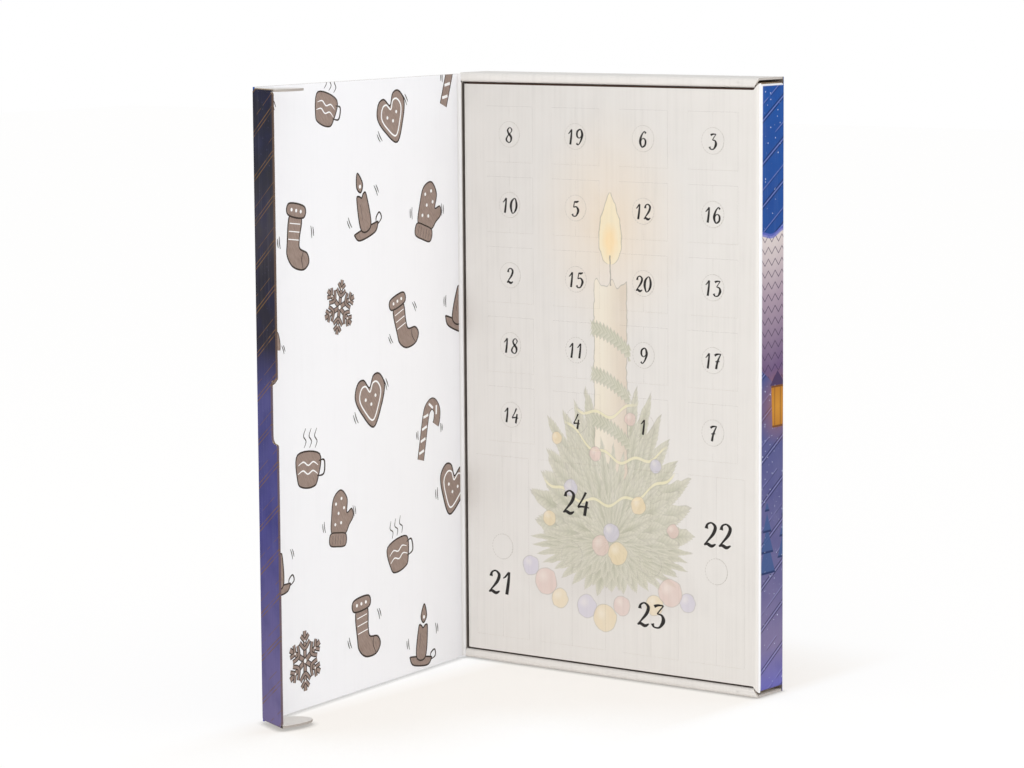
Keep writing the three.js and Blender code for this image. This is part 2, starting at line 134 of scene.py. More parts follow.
TRAY_LOW, TRAY_HIGH = (Vector(v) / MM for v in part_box("back_panel"))
LEFT, RIGHT, TOP = TRAY_LOW.x, TRAY_HIGH.x, TRAY_HIGH.z
BACK = TRAY_HIGH.y
FRONT = joint_place("lid_hinge").y
LID_TURN = shut_turn("lid_hinge")
FLAP_TURN = LID_TURN - shut_turn("flap_fold")
ALONG_LID = (math.cos(LID_TURN), math.sin(LID_TURN))
ALONG_FLAP = (math.cos(FLAP_TURN), math.sin(FLAP_TURN))
LID_WIDTH = (joint_place("flap_fold") - joint_place("lid_hinge")).xy.length
LID_INNER = -0.3  # the lid's inner face, from its fold line
LID_START = joint_place("lid_hinge").xy + Vector((-ALONG_LID[1], ALONG_LID[0])) * (LID_INNER - BOARD)
LID_OUTSIDE = Face(tuple(LID_START), ALONG_LID)
LID_INSIDE = LID_OUTSIDE.opposite(BOARD, LID_WIDTH)
FLAP_START = joint_place("flap_fold").xy - Vector((-ALONG_FLAP[1], ALONG_FLAP[0])) * BOARD
FLAP_WIDTH = 26.7
FLAP_OUTSIDE = Face(tuple(FLAP_START), ALONG_FLAP)
FLAP_INSIDE = FLAP_OUTSIDE.opposite(BOARD, FLAP_WIDTH)
DOOR_FRONT = Face((0, FRONT), (1, 0))
RIGHT_SIDE = Face((RIGHT, FRONT), (0, 1))
BACK_SIDE = Face((RIGHT, BACK), (-1, 0))
SPINE_SIDE = Face((LEFT, BACK), (0, -1))


class Signal:
    """A number that varies over a surface. The usual operators join it with others in shader maths."""

    def __init__(self, tree: bpy.types.NodeTree, socket: bpy.types.NodeSocket) -> None:
        """Keeps the tree and the socket that the number comes out of."""
        self.tree = tree
        self.socket = socket

    def apply(self, operation: str, *others: "Signal | float", clamp: bool = False) -> "Signal":
        """Adds a Math node.

        Args:
            operation: the node's operation.
            others: its other inputs.
            clamp: whether the result is kept between 0 and 1.

        Returns:
            The result.
        """
        node = self.tree.nodes.new("ShaderNodeMath")
        node.operation = operation
        node.use_clamp = clamp
        for slot, value in zip(node.inputs, (self, *others)):
            join(self.tree, value, slot)
        return Signal(self.tree, node.outputs[0])

    def __add__(self, other: "Signal | float") -> "Signal":
        """Adds."""
        return self.apply("ADD", other)

    def __sub__(self, other: "Signal | float") -> "Signal":
        """Subtracts."""
        return self.apply("SUBTRACT", other)

    def __rsub__(self, other: float) -> "Signal":
        """Subtracts from a constant."""
        return (self * -1) + other

    def __mul__(self, other: "Signal | float") -> "Signal":
        """Multiplies."""
        return self.apply("MULTIPLY", other)

    def __truediv__(self, other: "Signal | float") -> "Signal":
        """Divides."""
        return self.apply("DIVIDE", other)

    def __abs__(self) -> "Signal":
        """Drops the sign."""
        return self.apply("ABSOLUTE")

    def under(self, limit: "Signal | float", soft: float = 0.25) -> "Signal":
        """Gives 1 where the number is under a limit and 0 above it.

        Args:
            limit: the limit.
            soft: width of the edge between the two.

        Returns:
            The mask.
        """
        return ((self - limit) * (-1 / soft)).apply("ADD", 0.5, clamp=True)

    def over(self, limit: "Signal | float", soft: float = 0.25) -> "Signal":
        """Gives 1 where the number is over a limit. See under()."""
        return ((self - limit) * (1 / soft)).apply("ADD", 0.5, clamp=True)

    def part(self) -> "Signal":
        """Gives the part after the point."""
        return self.apply("FRACT")

    def saw(self, pitch: float) -> "Signal":
        """Gives the distance to the middle of each stretch of that pitch."""
        return abs((self / pitch).part() - 0.5) * pitch

    def sine(self, wavelength: float, shift: float = 0.0) -> "Signal":
        """Gives a sine wave of that length."""
        return (self * (math.tau / wavelength) + shift).apply("SINE")


def join(tree: bpy.types.NodeTree, value: object, slot: bpy.types.NodeSocket) -> None:
    """Links a value to an input, or sets it there.

    Args:
        tree: the tree.
        value: a signal, a socket, or a constant.
        slot: the input.
    """
    if isinstance(value, Signal):
        tree.links.new(value.socket, slot)
    elif isinstance(value, bpy.types.NodeSocket):
        tree.links.new(value, slot)
    else:
        slot.default_value = value


class Palette:
    """Mixes colours and patterns in one shader tree."""

    def __init__(self, tree: bpy.types.NodeTree) -> None:
        """Keeps the tree."""
        self.tree = tree

    def node(self, kind: str, settings: dict[str, object] | None = None, **inputs: object) -> bpy.types.Node:
        """Adds a node.

        Args:
            kind: its type.
            settings: its properties.
            inputs: its inputs by name, with _ for a space.

        Returns:
            The node.
        """
        node = self.tree.nodes.new(kind)
        for key, value in (settings or {}).items():
            setattr(node, key, value)
        for key, value in inputs.items():
            join(self.tree, value, node.inputs[key.replace("_", " ")])
        return node

    def signal(self, socket: bpy.types.NodeSocket) -> Signal:
        """Wraps a socket for maths."""
        return Signal(self.tree, socket)

    def object_point(self) -> tuple[bpy.types.NodeSocket, bpy.types.NodeSocket]:
        """Gives where a point of the surface is and which way it looks.

        Returns:
            The place in millimetres and the direction, both in the object's own frame.
        """
        coordinates = self.node("ShaderNodeTexCoord")
        scaled = self.node("ShaderNodeVectorMath", {"operation": "SCALE"}, Scale=1 / MM)
        self.tree.links.new(coordinates.outputs["Object"], scaled.inputs[0])
        return scaled.outputs[0], coordinates.outputs["Normal"]

    def along(self, vector: bpy.types.NodeSocket, direction: Iterable[float]) -> Signal:
        """Gives a vector's extent along a direction.

        Args:
            vector: the vector.
            direction: the direction.

        Returns:
            The extent.
        """
        node = self.node("ShaderNodeVectorMath", {"operation": "DOT_PRODUCT"})
        join(self.tree, vector, node.inputs[0])
        node.inputs[1].default_value = tuple(direction)
        return self.signal(node.outputs["Value"])

    def vector(self, x: object, y: object, z: object = 0.0) -> bpy.types.NodeSocket:
        """Joins three numbers."""
        return self.node("ShaderNodeCombineXYZ", X=x, Y=y, Z=z).outputs[0]

    def mix(self, factor: object, below: Paint, above: Paint) -> bpy.types.NodeSocket:
        """Lays one colour over another.

        Args:
            factor: how much of the upper one shows.
            below: the lower colour.
            above: the upper colour.

        Returns:
            The colour.
        """
        node = self.tree.nodes.new("ShaderNodeMix")
        node.data_type = "RGBA"
        for slot, value in ((0, factor), (6, below), (7, above)):
            join(self.tree, value, node.inputs[slot])
        return node.outputs[2]

    def layered(self, below: Paint, *layers: tuple[object, Paint]) -> Paint:
        """Lays several colours over one another.

        Args:
            below: the lowest colour.
            layers: a mask and a colour for each, from the lowest up.

        Returns:
            The colour.
        """
        for mask, above in layers:
            below = self.mix(mask, below, above)
        return below

    def blend(self, factor: object, below: object, above: object) -> bpy.types.NodeSocket:
        """Mixes two numbers.

        Args:
            factor: share of the second one.
            below: the first number.
            above: the second number.

        Returns:
            The number.
        """
        node = self.tree.nodes.new("ShaderNodeMix")
        for slot, value in ((0, factor), (2, below), (3, above)):
            join(self.tree, value, node.inputs[slot])
        return node.outputs[0]

    def ramp(self, factor: Signal, stops: Sequence[tuple[float, tuple[float, ...]]]) -> bpy.types.NodeSocket:
        """Turns a number into a colour.

        Args:
            factor: the number.
            stops: places between 0 and 1, each with its colour.

        Returns:
            The colour.
        """
        node = self.tree.nodes.new("ShaderNodeValToRGB")
        bar = node.color_ramp
        for _ in range(len(stops) - 2):
            bar.elements.new(0.5)
        for element, (place, colour) in zip(bar.elements, stops):
            element.position = place
            element.color = colour
        join(self.tree, factor, node.inputs[0])
        return node.outputs[0]

    def noise(self, vector: object, scale: float, detail: float = 2.0) -> Signal:
        """Gives soft noise between 0 and 1."""
        node = self.node("ShaderNodeTexNoise", Vector=vector, Scale=scale, Detail=detail)
        return self.signal(node.outputs[0])

    def closeness(self, reach: float, samples: int, gain: float) -> Signal:
        """Gives how closed in the surface is by others near it.

        Args:
            reach: how far others count, in metres.
            samples: rays for each point.
            gain: how fast it comes to 1.

        Returns:
            0 in the open, up to 1.
        """
        node = self.node("ShaderNodeAmbientOcclusion", {"samples": samples}, Distance=reach)
        return (1 - self.signal(node.outputs["AO"])).apply("MULTIPLY", gain, clamp=True)

    def seen(self) -> Signal:
        """Gives 1 for rays that see the surface: from the camera, off a shine or through glass.

        Returns:
            The mask.
        """
        path = self.node("ShaderNodeLightPath")
        mask = self.signal(path.outputs["Is Camera Ray"])
        for other in ("Is Glossy Ray", "Is Transmission Ray"):
            mask = mask.apply("MAXIMUM", self.signal(path.outputs[other]))
        return mask

    def group(self, tree: bpy.types.NodeTree, **inputs: object) -> bpy.types.Node:
        """Places a node group.

        Args:
            tree: the group.
            inputs: its inputs by name, with _ for a space.

        Returns:
            The node.
        """
        node = self.tree.nodes.new("ShaderNodeGroup")
        node.node_tree = tree
        for key, value in inputs.items():
            join(self.tree, value, node.inputs[key.replace("_", " ")])
        return node


def shared_group(
    name: str,
    inputs: Sequence[str],
    outputs: Sequence[tuple[str, str]],
    fill: Callable[..., Sequence[object]],
) -> bpy.types.NodeTree:
    """Builds a node group once.

    Args:
        name: the group's name.
        inputs: names of its inputs, all numbers.
        outputs: names and socket types of its outputs.
        fill: takes a palette and the inputs as signals, and gives the outputs' values.

    Returns:
        The group.
    """
    tree = bpy.data.node_groups.new(name, "ShaderNodeTree")
    for label in inputs:
        tree.interface.new_socket(label, in_out="INPUT", socket_type="NodeSocketFloat")
    for label, kind in outputs:
        tree.interface.new_socket(label, in_out="OUTPUT", socket_type=kind)
    entry, leave = tree.nodes.new("NodeGroupInput"), tree.nodes.new("NodeGroupOutput")
    made = fill(Palette(tree), *(Signal(tree, entry.outputs[label]) for label in inputs))
    for (label, _), value in zip(outputs, made):
        join(tree, value, leave.inputs[label])
    return tree


def cut_edge(p: Palette, along: Signal, across: Signal, wave: Signal) -> Sequence[object]:
    """Draws the cut edge of fluted board: two liners with a wavy sheet between them, and painted shade in the
    open flutes.

    Args:
        p: where the nodes go.
        along: distance along the edge.
        across: distance through the board.
        wave: 1 where the flutes are cut across and 0 where they are cut along.

    Returns:
        The colour, and the height.
    """
    share = across / BOARD
    middle = along.sine(FLUTE_PITCH) * 0.36 * wave + 0.5
    sheet = abs(share - middle).under(0.14, 0.06)
    liners = abs(share - 0.5).over(0.37, 0.06)
    solid = sheet.apply("MAXIMUM", liners)
    speckle = p.noise(p.vector(along, across), 2.2)
    kraft = p.mix(speckle, tone(178, 156, 130), tone(208, 190, 164))
    standing = p.mix(speckle, tone(112, 92, 80), tone(140, 120, 106))
    # the open flutes get a dark brown as painted shade
    return p.mix(solid, tone(84, 66, 52), p.mix(wave, standing, kraft)), solid


def board_grain(p: Palette, along: Signal, up: Signal) -> Sequence[object]:
    """Gives the washboard, fibres and soft mottling of lined board. The washboard's streaks and ripple are
    painted light and shade of its ridges; the fibres and mottling are the board's own tone.

    Args:
        p: where the nodes go.
        along: distance along the board.
        up: height.

    Returns:
        The shade, and the height.
    """
    wash = along.sine(FLUTE_PITCH)
    streaks = p.noise(p.vector(along * 0.45, up * 0.012), 1.0, 3.0)
    fibres = p.noise(p.vector(along, up), 1.6, 4.0)
    mottle = p.noise(p.vector(along, up, 3.0), 0.05, 2.0)
    # the streaks and the wash are painted light and shade of the washboard; fibres and mottle are the board's
    # tone
    shade = (streaks - 0.5) * 0.16 + (fibres - 0.5) * 0.04 + (mottle - 0.5) * 0.09 + wash * 0.003
    height = wash * 0.004 + streaks * 0.05 + fibres * 0.02
    return shade, height


class NightPicture:
    """The outside print: a night sky with snow over quilted hills, lanterns and a wood."""

    # shares of the height, each with its colour
    SKY = (
        (0.0, tone(104, 104, 182)),
        (0.08, tone(126, 116, 152)),
        (0.2, tone(104, 100, 142)),
        (0.5, tone(78, 84, 134)),
        (0.62, tone(36, 74, 142)),
        (1.0, tone(28, 80, 156)),
    )
    DUSK = (
        (0.0, tone(112, 102, 142)),
        (0.32, tone(66, 64, 126)),
        (0.52, tone(74, 72, 124)),
        (0.6, tone(34, 31, 46)),
        (0.7, tone(30, 27, 40)),
        (0.78, tone(56, 52, 60)),
        (0.88, tone(32, 32, 42)),
        (1.0, tone(24, 24, 42)),
    )
    QUILT = ((0.0, tone(214, 203, 200)), (0.45, tone(166, 148, 162)), (1.0, tone(108, 86, 122)))
    RULE_PITCH = 26.0  # of the slanting lines, measured upwards
    CREST = 274.0
    FOOT = 196.0
    LANTERN_PITCH = 65.0
    LANTERN_LEVEL = 179.0
    GLOW = 24.0  # reach of a lantern's light
    PANE = 13.0  # half height of its pane
    RIDGE = 22.0  # top of its roof above its middle
    TREE_PITCH = 21.0
    TREE_FOOT = 76.0
    TREE_HEIGHT = 44.0
    TIER = 13.0  # height of a tree's tier

    def __init__(self, palette: Palette, along: Signal, up: Signal) -> None:
        """Keeps the palette and the place on the board.

        Args:
            palette: where the nodes go.
            along: distance along the board.
            up: height.
        """
        self.p = palette
        self.along = along
        self.up = up
        self.spot = palette.vector(along, up)
        self.patches = palette.noise(self.spot, 0.09, 1.0).over(0.45, 0.08)

    def colour(self, dusk: Signal) -> Paint:
        """Paints the picture.

        Args:
            dusk: 1 for the plain dark print of the tuck flap.

        Returns:
            The colour.
        """
        p = self.p
        level = self.up / TOP
        wash = p.noise(self.spot, 0.045, 5.0)
        dark_lines, pale_lines = self._rules()
        colour = p.layered(
            p.ramp(level, self.SKY),
            ((wash - 0.45) * 0.8, tone(40, 48, 116)),
            (dark_lines * 0.75, tone(20, 24, 58)),
            (pale_lines, tone(150, 150, 200)),
        )
        colour, hill = self._hills(colour)
        colour, lamp = self._lanterns(self._wood(colour))
        cells = p.node("ShaderNodeTexVoronoi", Vector=self.spot, Scale=0.36)
        size = p.along(cells.outputs["Color"], (0.16, 0, 0))
        flakes = p.signal(cells.outputs["Distance"]).under(size, 0.03)
        bright = p.mix(flakes * 0.9 * hill.under(0.5) * lamp.under(0.5), colour, tone(214, 222, 244))
        dark = p.layered(
            p.ramp(level, self.DUSK),
            (flakes * 0.25, tone(120, 120, 160)),
            (dark_lines * (self.patches * 0.5 + 0.3), tone(120, 88, 44)),
            ((wash - 0.45) * 1.2, tone(26, 32, 84)),
        )
        return p.mix(dusk, bright, dark)

    def _rules(self) -> tuple[Signal, Signal]:
        """Rules slanting lines, single and in pairs.

        Returns:
            Masks of the dark lines and of the pale ones.
        """
        slant = self.up - self.along * 0.62
        ruled = slant.saw(self.RULE_PITCH)
        thin = (slant - 9).saw(self.RULE_PITCH).under(0.2, 0.2) * self.patches
        dark = (abs(ruled - 1.3).under(0.4, 0.2) + thin).apply("MINIMUM", 1)
        thin = (slant - 10.2).saw(self.RULE_PITCH).under(0.25, 0.2) * self.patches
        return dark, ruled.under(0.34, 0.2) * 0.6 + thin * 0.6

    def _hills(self, below: Paint) -> tuple[Paint, Signal]:
        """Paints the quilted hills with their zigzag seams.

        Args:
            below: what is painted so far.

        Returns:
            The colour, and a mask of the hills.
        """
        p, along, up = self.p, self.along, self.up
        crest = along.sine(96.0, 0.4) * 15 + along.sine(37.0, 2.0) * 5 + self.CREST
        foot = along.sine(82.0, 2.1) * 9 + self.FOOT
        hill = (up - crest).under(0, 0.6) * (up - foot).over(0, 0.6)
        depth = ((crest - up) / 82).apply("MAXIMUM", 0)
        seams = (up + along.saw(7.6) * 1.1).saw(7.2).under(0.42, 0.3)
        quilt = p.mix(seams * 0.85, p.ramp(depth, self.QUILT), tone(62, 50, 76))
        rim = abs(up - crest).under(1.4, 0.5)
        return p.layered(below, (hill, quilt), (rim * 0.8, tone(96, 104, 186))), hill

    def _wood(self, below: Paint) -> Paint:
        """Paints a row of fir trees.

        Args:
            below: what is painted so far.

        Returns:
            The colour.
        """
        share = self.along / self.TREE_PITCH
        across = abs(share.part() - 0.5) * self.TREE_PITCH
        trunk = self.up - self.TREE_FOOT - share.apply("FLOOR").sine(5.3) * 9
        tier = (trunk / self.TIER).part()
        wood = across.under((self.TREE_HEIGHT - trunk) * 0.17 - tier * 3.2 + 1.8, 0.5)
        wood = wood * trunk.over(0, 0.5) * trunk.under(self.TREE_HEIGHT, 0.5)
        needles = tier.under(0.1, 0.05) * wood
        return self.p.layered(below, (wood * 0.9, tone(64, 88, 136)), (needles * 0.7, tone(22, 26, 70)))

    def _lanterns(self, below: Paint) -> tuple[Paint, Signal]:
        """Paints a row of lanterns, each with its glow, bars and roof.

        Args:
            below: what is painted so far.

        Returns:
            The colour, and a mask of the panes.
        """
        beside = (((self.along + 10.5) / self.LANTERN_PITCH).part() - 0.5) * self.LANTERN_PITCH
        above = self.up - self.LANTERN_LEVEL
        aside = abs(beside)
        far = (beside * beside + above * above).apply("SQRT") / self.GLOW
        lit = (1 - far).apply("MAXIMUM", 0)
        pane = aside.under(above * 0.05 + 6.5, 0.3) * abs(above).under(self.PANE, 0.3)
        bars = abs(aside - 3.1).under(0.3, 0.2).apply("MAXIMUM", abs(abs(above) - 12.4).under(0.7, 0.2))
        roof = aside.under((self.RIDGE - above) * 0.95, 0.4) * above.over(self.PANE, 0.3)
        colour = self.p.layered(
            below,
            (lit * 0.6, tone(176, 116, 76)),
            (pane, self.p.mix(lit, tone(160, 98, 30), tone(200, 140, 54))),
            (bars * pane * 0.75, tone(84, 48, 40)),
            (roof * above.under(self.RIDGE), tone(74, 58, 92)),
        )
        return colour, pane


def winter_night(p: Palette, along: Signal, up: Signal, dusk: Signal) -> Sequence[object]:
    """Draws the outside print, as a node group wants it."""
    return (NightPicture(p, along, up).colour(dusk),)


def new_material(name: str) -> tuple[bpy.types.Material, Palette, bpy.types.Node]:
    """Starts a material.

    Args:
        name: its name.

    Returns:
        The material, a palette for its nodes, and its shader.
    """
    made = bpy.data.materials.new(name)
    made.use_nodes = True
    return made, Palette(made.node_tree), made.node_tree.nodes["Principled BSDF"]


class Groups:
    """The node groups that more than one material uses."""

    edge: bpy.types.NodeTree
    grain: bpy.types.NodeTree
    night: bpy.types.NodeTree

    @classmethod
    def build(cls) -> None:
        """Builds them."""
        colour, number = "NodeSocketColor", "NodeSocketFloat"
        edge, grain = [("Color", colour), ("Height", number)], [("Shade", number), ("Height", number)]
        cls.edge = shared_group("cut_edge", ["Along", "Across", "Wave"], edge, cut_edge)
        cls.grain = shared_group("board_grain", ["Along", "Up"], grain, board_grain)
        cls.night = shared_group("winter_night", ["Along", "Up", "Dusk"], [("Color", colour)], winter_night)


class Side(Enum):
    """What a board's face carries."""

    WHITE = tone(231, 227, 222)
    COOL_WHITE = tone(245, 245, 248)
    DOOR = tone(228, 224, 219)
    NIGHT = tone(60, 70, 140)
    # dark kraft for the box's inside, darkened as painted shade where the narrow gaps look in
    KRAFT = tone(112, 104, 98)


class Cut(Enum):
    """Where a board shows its cut edge."""

    ENDS = "ends"
    ENDS_AND_FREE_EDGE = "ends and free edge"
    ALL_ROUND = "all round"
    ROLL_ENDS = "roll ends"
    EAR_RIM = "ear rim"


class Fold(Enum):
    """What the faces at a board's sides carry."""

    WHITE = "white"
    PRINTED = "printed"
    DOOR_LEG = "door leg"
    BACK_EDGES = "back edges"


def side_print_area(along: Signal, up: Signal) -> Signal:
    """Gives where the right side is printed: behind a white margin, and short of the top. The margins are
    unprinted board at the folds, laid in a cool white that is also a painted highlight of the folds.
    """
    return along.over(up * 0.004 + 3.4, 0.9) * up.under(TOP - 4.9, 0.6)


@dataclass(frozen=True)
class BoardFinish:
    """Lined fluted board: its outer face, its inner face and its cut edges."""

    name: str
    face: Face
    outer: Side
    inner: Side
    cut: Cut = Cut.ENDS
    fold: Fold = Fold.WHITE
    dusk: float = 0.0
    gloss: float = 0.5
    streaks: float = 1.0
    shine: float = 0.15

    FOLD_SIDE = 108.0  # what lies further from the middle belongs to a fold
    EAR_LEVEL = 1.6  # of an ear's outer face, from the end of the box
    ROLL_LEVEL = 4.6  # of the roll's inner board
    RIM = 6.0  # thickness of a rolled wall

    def material(self) -> bpy.types.Material:
        """Makes the material.

        Returns:
            The material.
        """
        made, p, shader = new_material(self.name)
        place, direction = p.object_point()
        (x0, y0), (a, b) = self.face.origin, self.face.right
        along = p.along(place, (a, b, 0)) - (a * x0 + b * y0)
        depth = p.along(place, (-b, a, 0)) - (a * y0 - b * x0)
        up = p.along(place, (0, 0, 1))
        outward = p.along(direction, (b, -a, 0))
        steep = abs(p.along(direction, (0, 0, 1)))
        grain = p.group(Groups.grain, Along=along, Up=up)
        outer = self._printed(p, self.outer, along, up)
        inner = self._printed(p, self.inner, along, up)
        fold = outer if self.fold is Fold.PRINTED else self._fold_colour(p, along, depth, up)
        shade = p.signal(grain.outputs["Shade"]) * self.streaks
        mask, across = self._cut_edge(p, along, depth, up, direction, steep)
        edge = p.group(Groups.edge, Along=along, Across=across, Wave=steep)
        colour = p.layered(
            fold,
            (outward.over(0.3, 0.1), outer),
            (outward.under(-0.3, 0.1), inner),
            (shade.apply("MAXIMUM", 0), tone(255, 255, 255)),
            ((shade * -1).apply("MAXIMUM", 0), tone(60, 56, 52)),
            (mask, edge.outputs["Color"]),
        )
        join(p.tree, colour, shader.inputs["Base Color"])
        join(p.tree, mask * (0.85 - self.gloss) + self.gloss, shader.inputs["Roughness"])
        shader.inputs["Specular IOR Level"].default_value = self.shine
        height = p.blend(mask, grain.outputs["Height"], edge.outputs["Height"])
        bump = p.node("ShaderNodeBump", Height=height, Strength=0.35, Distance=0.15 * MM)
        join(p.tree, bump.outputs[0], shader.inputs["Normal"])
        return made

    def _fold_colour(self, p: Palette, along: Signal, depth: Signal, up: Signal) -> Paint:
        """Gives the colour of the faces at the board's sides, where the liner runs on round a fold.

        Args:
            p: where the nodes go.
            along: distance along the board.
            depth: distance into the board.
            up: height.

        Returns:
            The colour.
        """
        white = Side.WHITE.value
        if self.cut is Cut.ROLL_ENDS:
            # painted shade: the roll's faces deep in the gap behind the rim get the dark inside tone
            rise = up.apply("MINIMUM", up * -1 + TOP)
            return p.mix(rise.over(self.RIM - 0.4) * depth.over(0.9, 0.6), white, Side.KRAFT.value)
        if self.fold is Fold.WHITE:
            return white
        around, shown = depth, 1.0
        if self.fold is Fold.DOOR_LEG:
            shown = along.over(RIGHT - 2.5) * side_print_area(depth, up)
            # cool white: unprinted board, made brighter as a painted highlight where the fold catches light
            white = Side.COOL_WHITE.value
        else:
            around = depth + along.under(self.FOLD_SIDE) * (depth * -2 + (BACK - FRONT))
        return p.mix(shown, white, p.group(Groups.night, Along=around, Up=up, Dusk=0.0).outputs[0])

    def _cut_edge(
        self,
        p: Palette,
        along: Signal,
        depth: Signal,
        up: Signal,
        direction: bpy.types.NodeSocket,
        steep: Signal,
    ) -> tuple[Signal, Signal]:
        """Finds the cut edges.

        Args:
            p: where the nodes go.
            along: distance along the board.
            depth: distance into the board.
            up: height.
            direction: the way that the surface looks.
            steep: 1 where it looks up or down.

        Returns:
            A mask of the cut edges, and the distance through the board there.
        """
        a, b = self.face.right
        ends = steep.over(0.6, 0.1)
        sideways = p.along(direction, (a, b, 0))
        rise = up.apply("MINIMUM", up * -1 + TOP)
        if self.cut is Cut.ENDS:
            return ends, depth
        if self.cut is Cut.ENDS_AND_FREE_EDGE:
            return ends.apply("MAXIMUM", sideways.over(0.6, 0.1) * 0.7), depth
        if self.cut is Cut.ALL_ROUND:
            flat = abs(along).under(self.FOLD_SIDE)
            return ends.apply("MAXIMUM", abs(sideways).over(0.6, 0.1) * flat), depth
        if self.cut is Cut.ROLL_ENDS:
            return abs(sideways).over(0.35, 0.1) * 0.45, rise - rise.over(3, 0.1) * self.ROLL_LEVEL
        if self.cut is Cut.EAR_RIM:
            return steep.under(0.5, 0.1) * 0.6, rise - self.EAR_LEVEL
        raise ValueError(self.cut)

    def _printed(self, p: Palette, side: Side, along: Signal, up: Signal) -> Paint:
        """Gives the colour of one face.

        Args:
            p: where the nodes go.
            side: what the face carries.
            along: distance along the board.
            up: height.

        Returns:
            The colour.
        """
        if side is Side.NIGHT:
            night = p.group(Groups.night, Along=along, Up=up, Dusk=self.dusk).outputs[0]
            if self.face is RIGHT_SIDE:
                # cool white margin: unprinted board, made brighter as a painted highlight where the folds
                # catch light
                return p.mix(side_print_area(along, up), Side.COOL_WHITE.value, night)
            return night
        if side is Side.KRAFT:
            # painted shade inside the box: the dark tone, back to white past a run of the tray's depth less
            # 0.8 along the face, which on the spine wall is its front edge
            return p.mix(along.over(BACK - FRONT - 0.8, 0.9), side.value, Side.WHITE.value)
        if side is Side.DOOR:
            return DoorPicture(p, along, up).colour()
        return side.value


